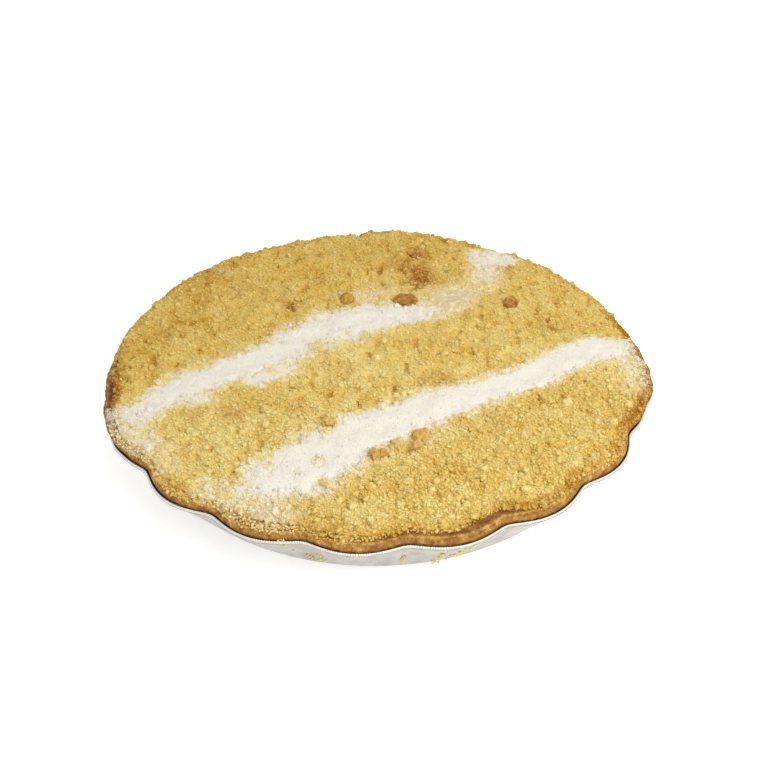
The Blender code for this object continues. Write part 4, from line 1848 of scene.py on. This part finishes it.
    def build(self, finish: bpy.types.Material) -> list[Scattered]:
        """Builds the crumbs, one piece for each kind, and dresses them.

        Args:
            finish: the crumble's material.

        Returns:
            How the crumbs of each kind on the pie lie.
        """
        large, clumps = self.scatter(self.clusters), self.clumped()
        laid = [(kind, self.scatter(kind)) for kind in self.fine]
        laid += [(self.clusters, large), (self.perched, self.perch(large.with_more(clumps)))]
        laid += [(self.clumps, clumps), (self.toasted, self.toast())]
        for kind, crumbs in [*laid, (self.stuck, self.on_tin())]:
            mesh = crumbs.joined(kind.name, *kind.shapes(), kind.seed + 4000)
            add_piece(mesh, finish, smooth=kind.roundness > 0)
        return [crumbs for _, crumbs in laid]


@dataclass
class SugarGrains:
    """Grains of sugar that lie on the crumbs beside the bands and on the bands themselves."""

    topping: CrumbleTopping
    smallest: float = 0.00025
    largest: float = 0.00050
    per_crumb: float = 0.9
    least_crumb: float = 0.0010
    crumb_rise: float = 0.4
    crumb_reach: float = 0.47
    band_spacing: float = 0.0015
    band_stray: float = 0.5
    band_cover: float = 0.45
    band_share: float = 0.99
    band_lift: float = 0.3
    seed: int = 77

    def on_crumbs(self, crumbs: Scattered, draw: np.random.Generator) -> np.ndarray:
        """Places of grains on the upper sides of dusted crumbs.

        Args:
            crumbs: how the crumbs of one kind lie.
            draw: the random numbers.

        Returns:
            x, y and z of each grain.
        """
        counts = draw.poisson(self.per_crumb * crumbs.sugar * (crumbs.sizes > self.least_crumb))
        owners = np.repeat(np.arange(len(crumbs.sizes)), counts)
        reach = crumbs.sizes[owners] * self.crumb_reach
        return crumbs.places[owners] + upper_sides(len(owners), self.crumb_rise, draw) * reach[:, None]

    def on_bands(self, draw: np.random.Generator) -> np.ndarray:
        """Places of grains on the thick sugar.

        Args:
            draw: the random numbers.

        Returns:
            x, y and z of each grain.
        """
        grid = uneven_grid(self.topping.pastry.tin.diameter / 2, self.band_spacing, self.band_stray, draw)
        grid = grid[self.topping.share_out(grid) < self.band_share]
        grid = grid[self.topping.sugar.cover(grid) > self.band_cover]
        return np.column_stack([grid, self.topping.core_top(grid)[0] + self.smallest * self.band_lift])

    def build(self, finish: SugarFinish, crumbs: list[Scattered]) -> None:
        """Builds the grains as one piece and dresses it.

        Args:
            finish: the sugar's finish.
            crumbs: how the crumbs of each kind lie.
        """
        draw = np.random.default_rng(self.seed)
        places = np.concatenate([self.on_crumbs(kind, draw) for kind in crumbs] + [self.on_bands(draw)])
        shape, count = ball(0), len(places)
        sizes, tone = draw.uniform(self.smallest, self.largest, count), draw.random(count)
        grains = Scattered(places, sizes, tone, browned=np.zeros(count), sugar=np.ones(count))
        mesh = grains.joined("sugar_grains", places_of(shape)[None], corners_of(shape), self.seed + 1)
        shape.free()
        add_piece(mesh, finish.material())


@dataclass
class BrownedLumps:
    """The three browned lumps of dough that sit in the crumble."""

    topping: CrumbleTopping
    lumps: tuple[Lump, ...]
    lift: float = 0.12
    dent: float = 0.16
    dents: Row = (3.1, 900)  # how close they are, and what a lump's size adds to their pattern
    skin: float = 0.14
    skin_waves: Row = (0.0019, 40)
    roundness: int = 5

    def form(self, lump: Lump) -> Shape:
        """One lump, dented as its solid is and with a finer skin.

        Args:
            lump: where it lies and how large it is.

        Returns:
            The lump's shape, in its place.
        """
        shape = ball(self.roundness)
        points, size = places_of(shape), np.array(lump.size)
        (close, pattern), (width, other) = self.dents, self.skin_waves
        dents = 1 + self.dent * waves_around(points * close + size * pattern)
        skin = self.skin * waves_around(points * size / width + other)
        move_to(shape, points * (dents + skin)[:, None] * size)
        bmesh.ops.rotate(shape, verts=shape.verts, matrix=Matrix.Rotation(math.radians(lump.turn), 3, "Z"))
        ground = self.topping.top(np.array([lump.place]))[0]
        place = Vector((*lump.place, ground + self.lift * lump.size[2]))
        bmesh.ops.translate(shape, verts=shape.verts, vec=place)
        return shape

    def build(self, finish: LumpFinish) -> None:
        """Builds the lumps and dresses them.

        Args:
            finish: the lumps' finish.
        """
        material = finish.material()
        for lump in self.lumps:
            mesh = mesh_of(lump.node.replace("baked", "browned"), self.form(lump))
            set_values(mesh, bake=np.full(len(mesh.vertices), lump.bake))
            add_piece(mesh, material, lump.node)


@dataclass
class Studio:
    """A plain white floor, soft light from above and the camera at the photo's place."""

    tin: FoilTin
    floor_size: float = 24.0
    floor_tint: Tint = Tint(248, 248, 248)
    floor_glow: float = 0.52
    lamp_place: tuple[float, float, float] = (0.36, -0.46, 0.66)
    lamp_size: float = 0.6
    lamp_power: float = 4.5
    sky: float = 0.64
    sky_tint: Row = (1.0, 0.985, 0.96, 1.0)
    distance: float = 0.794
    elevation: float = math.radians(35.3)
    roll: float = math.radians(-0.98)
    focal_pixels: float = 1567.0
    frame_pixels: float = 768.0
    rim_pixel: tuple[float, float] = (376.2, 370.9)  # where the middle of the tin's rim shows
    sensor: float = 36.0

    def build(self) -> None:
        """Builds the floor, the lights and the camera."""
        self.add_floor()
        self.add_sky()
        self.add_lamp()
        self.add_camera()

    def add_floor(self) -> None:
        """A white floor that glows a little, level with the tin's base."""
        shape = bmesh.new()
        bmesh.ops.create_grid(shape, x_segments=1, y_segments=1, size=self.floor_size / 2)
        mesh = mesh_of("floor", shape)
        material, _, _ = new_material(
            "white floor",
            Base_Color=self.floor_tint.linear(),
            Roughness=0.8,
            Emission_Color=(1, 1, 1, 1),
            Emission_Strength=self.floor_glow,
        )
        mesh.materials.append(material)
        placed("floor", mesh)

    def add_sky(self) -> None:
        """Even white light from all round, and colours shown as they are."""
        scene = bpy.context.scene
        scene.world = bpy.data.worlds.new("studio")
        scene.world.use_nodes = True
        background = scene.world.node_tree.nodes["Background"]
        background.inputs["Color"].default_value = self.sky_tint
        background.inputs["Strength"].default_value = self.sky
        scene.view_settings.view_transform = "Standard"

    def add_lamp(self) -> None:
        """A large soft lamp that shines at the pie."""
        lamp = bpy.data.lights.new("key light", "AREA")
        lamp.size = self.lamp_size
        lamp.energy = self.lamp_power
        made = placed("key light", lamp)
        made.location = self.lamp_place
        made.rotation_euler = (-Vector(self.lamp_place)).to_track_quat("-Z", "Y").to_euler()

    def add_camera(self) -> None:
        """The camera: it looks down on the pie, rolled a little, with the rim's middle at its pixel."""
        lens = bpy.data.cameras.new("camera")
        lens.sensor_width = self.sensor
        lens.lens = self.focal_pixels / self.frame_pixels * self.sensor
        target = Vector((0, 0, self.tin.height))
        back = Vector((0, -math.cos(self.elevation), math.sin(self.elevation)))
        rolled = (-back).to_track_quat("-Z", "Y").to_matrix() @ Matrix.Rotation(self.roll, 3, "Z")
        middle = self.frame_pixels / 2
        seen = Vector((self.rim_pixel[0] - middle, middle - self.rim_pixel[1], -self.focal_pixels))
        aimed = rolled @ seen.rotation_difference(Vector((0, 0, -1))).to_matrix()
        camera = placed("camera", lens)
        camera.matrix_world = Matrix.Translation(target + back * self.distance) @ aimed.to_4x4()
        bpy.context.scene.camera = camera


def main() -> None:
    """Builds the pie in order, from the tin to the sugar, and then the studio."""
    logging.basicConfig(level=logging.INFO, format="%(name)s: %(message)s")
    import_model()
    lumps = (
        Lump("baked_lump_left", (-0.0149, 0.0535), (0.0078, 0.0070, 0.0056), 20, -0.03),
        Lump("baked_lump_middle", (0.0159, 0.0514), (0.0125, 0.0092, 0.0066), -8, 0.10),
        Lump("baked_lump_right", (0.0719, 0.0489), (0.0076, 0.0074, 0.0074), 0, 0.10),
    )
    sugar = SugarBands()
    tin = FoilTin(Plan())
    pastry = PastryCase(tin, sugar)
    topping = CrumbleTopping(pastry, sugar)
    crumble = CrumbleFinish().material()
    tin.build(FoilFinish(tin.height))
    pastry.build(PastryFinish(), topping)
    topping.build(crumble)
    crumbs = LooseCrumbs(topping, lumps).build(crumble)
    SugarGrains(topping).build(SugarFinish(), crumbs)
    BrownedLumps(topping, lumps).build(LumpFinish())
    Studio(tin).build()


if __name__ == "__main__":
    main()
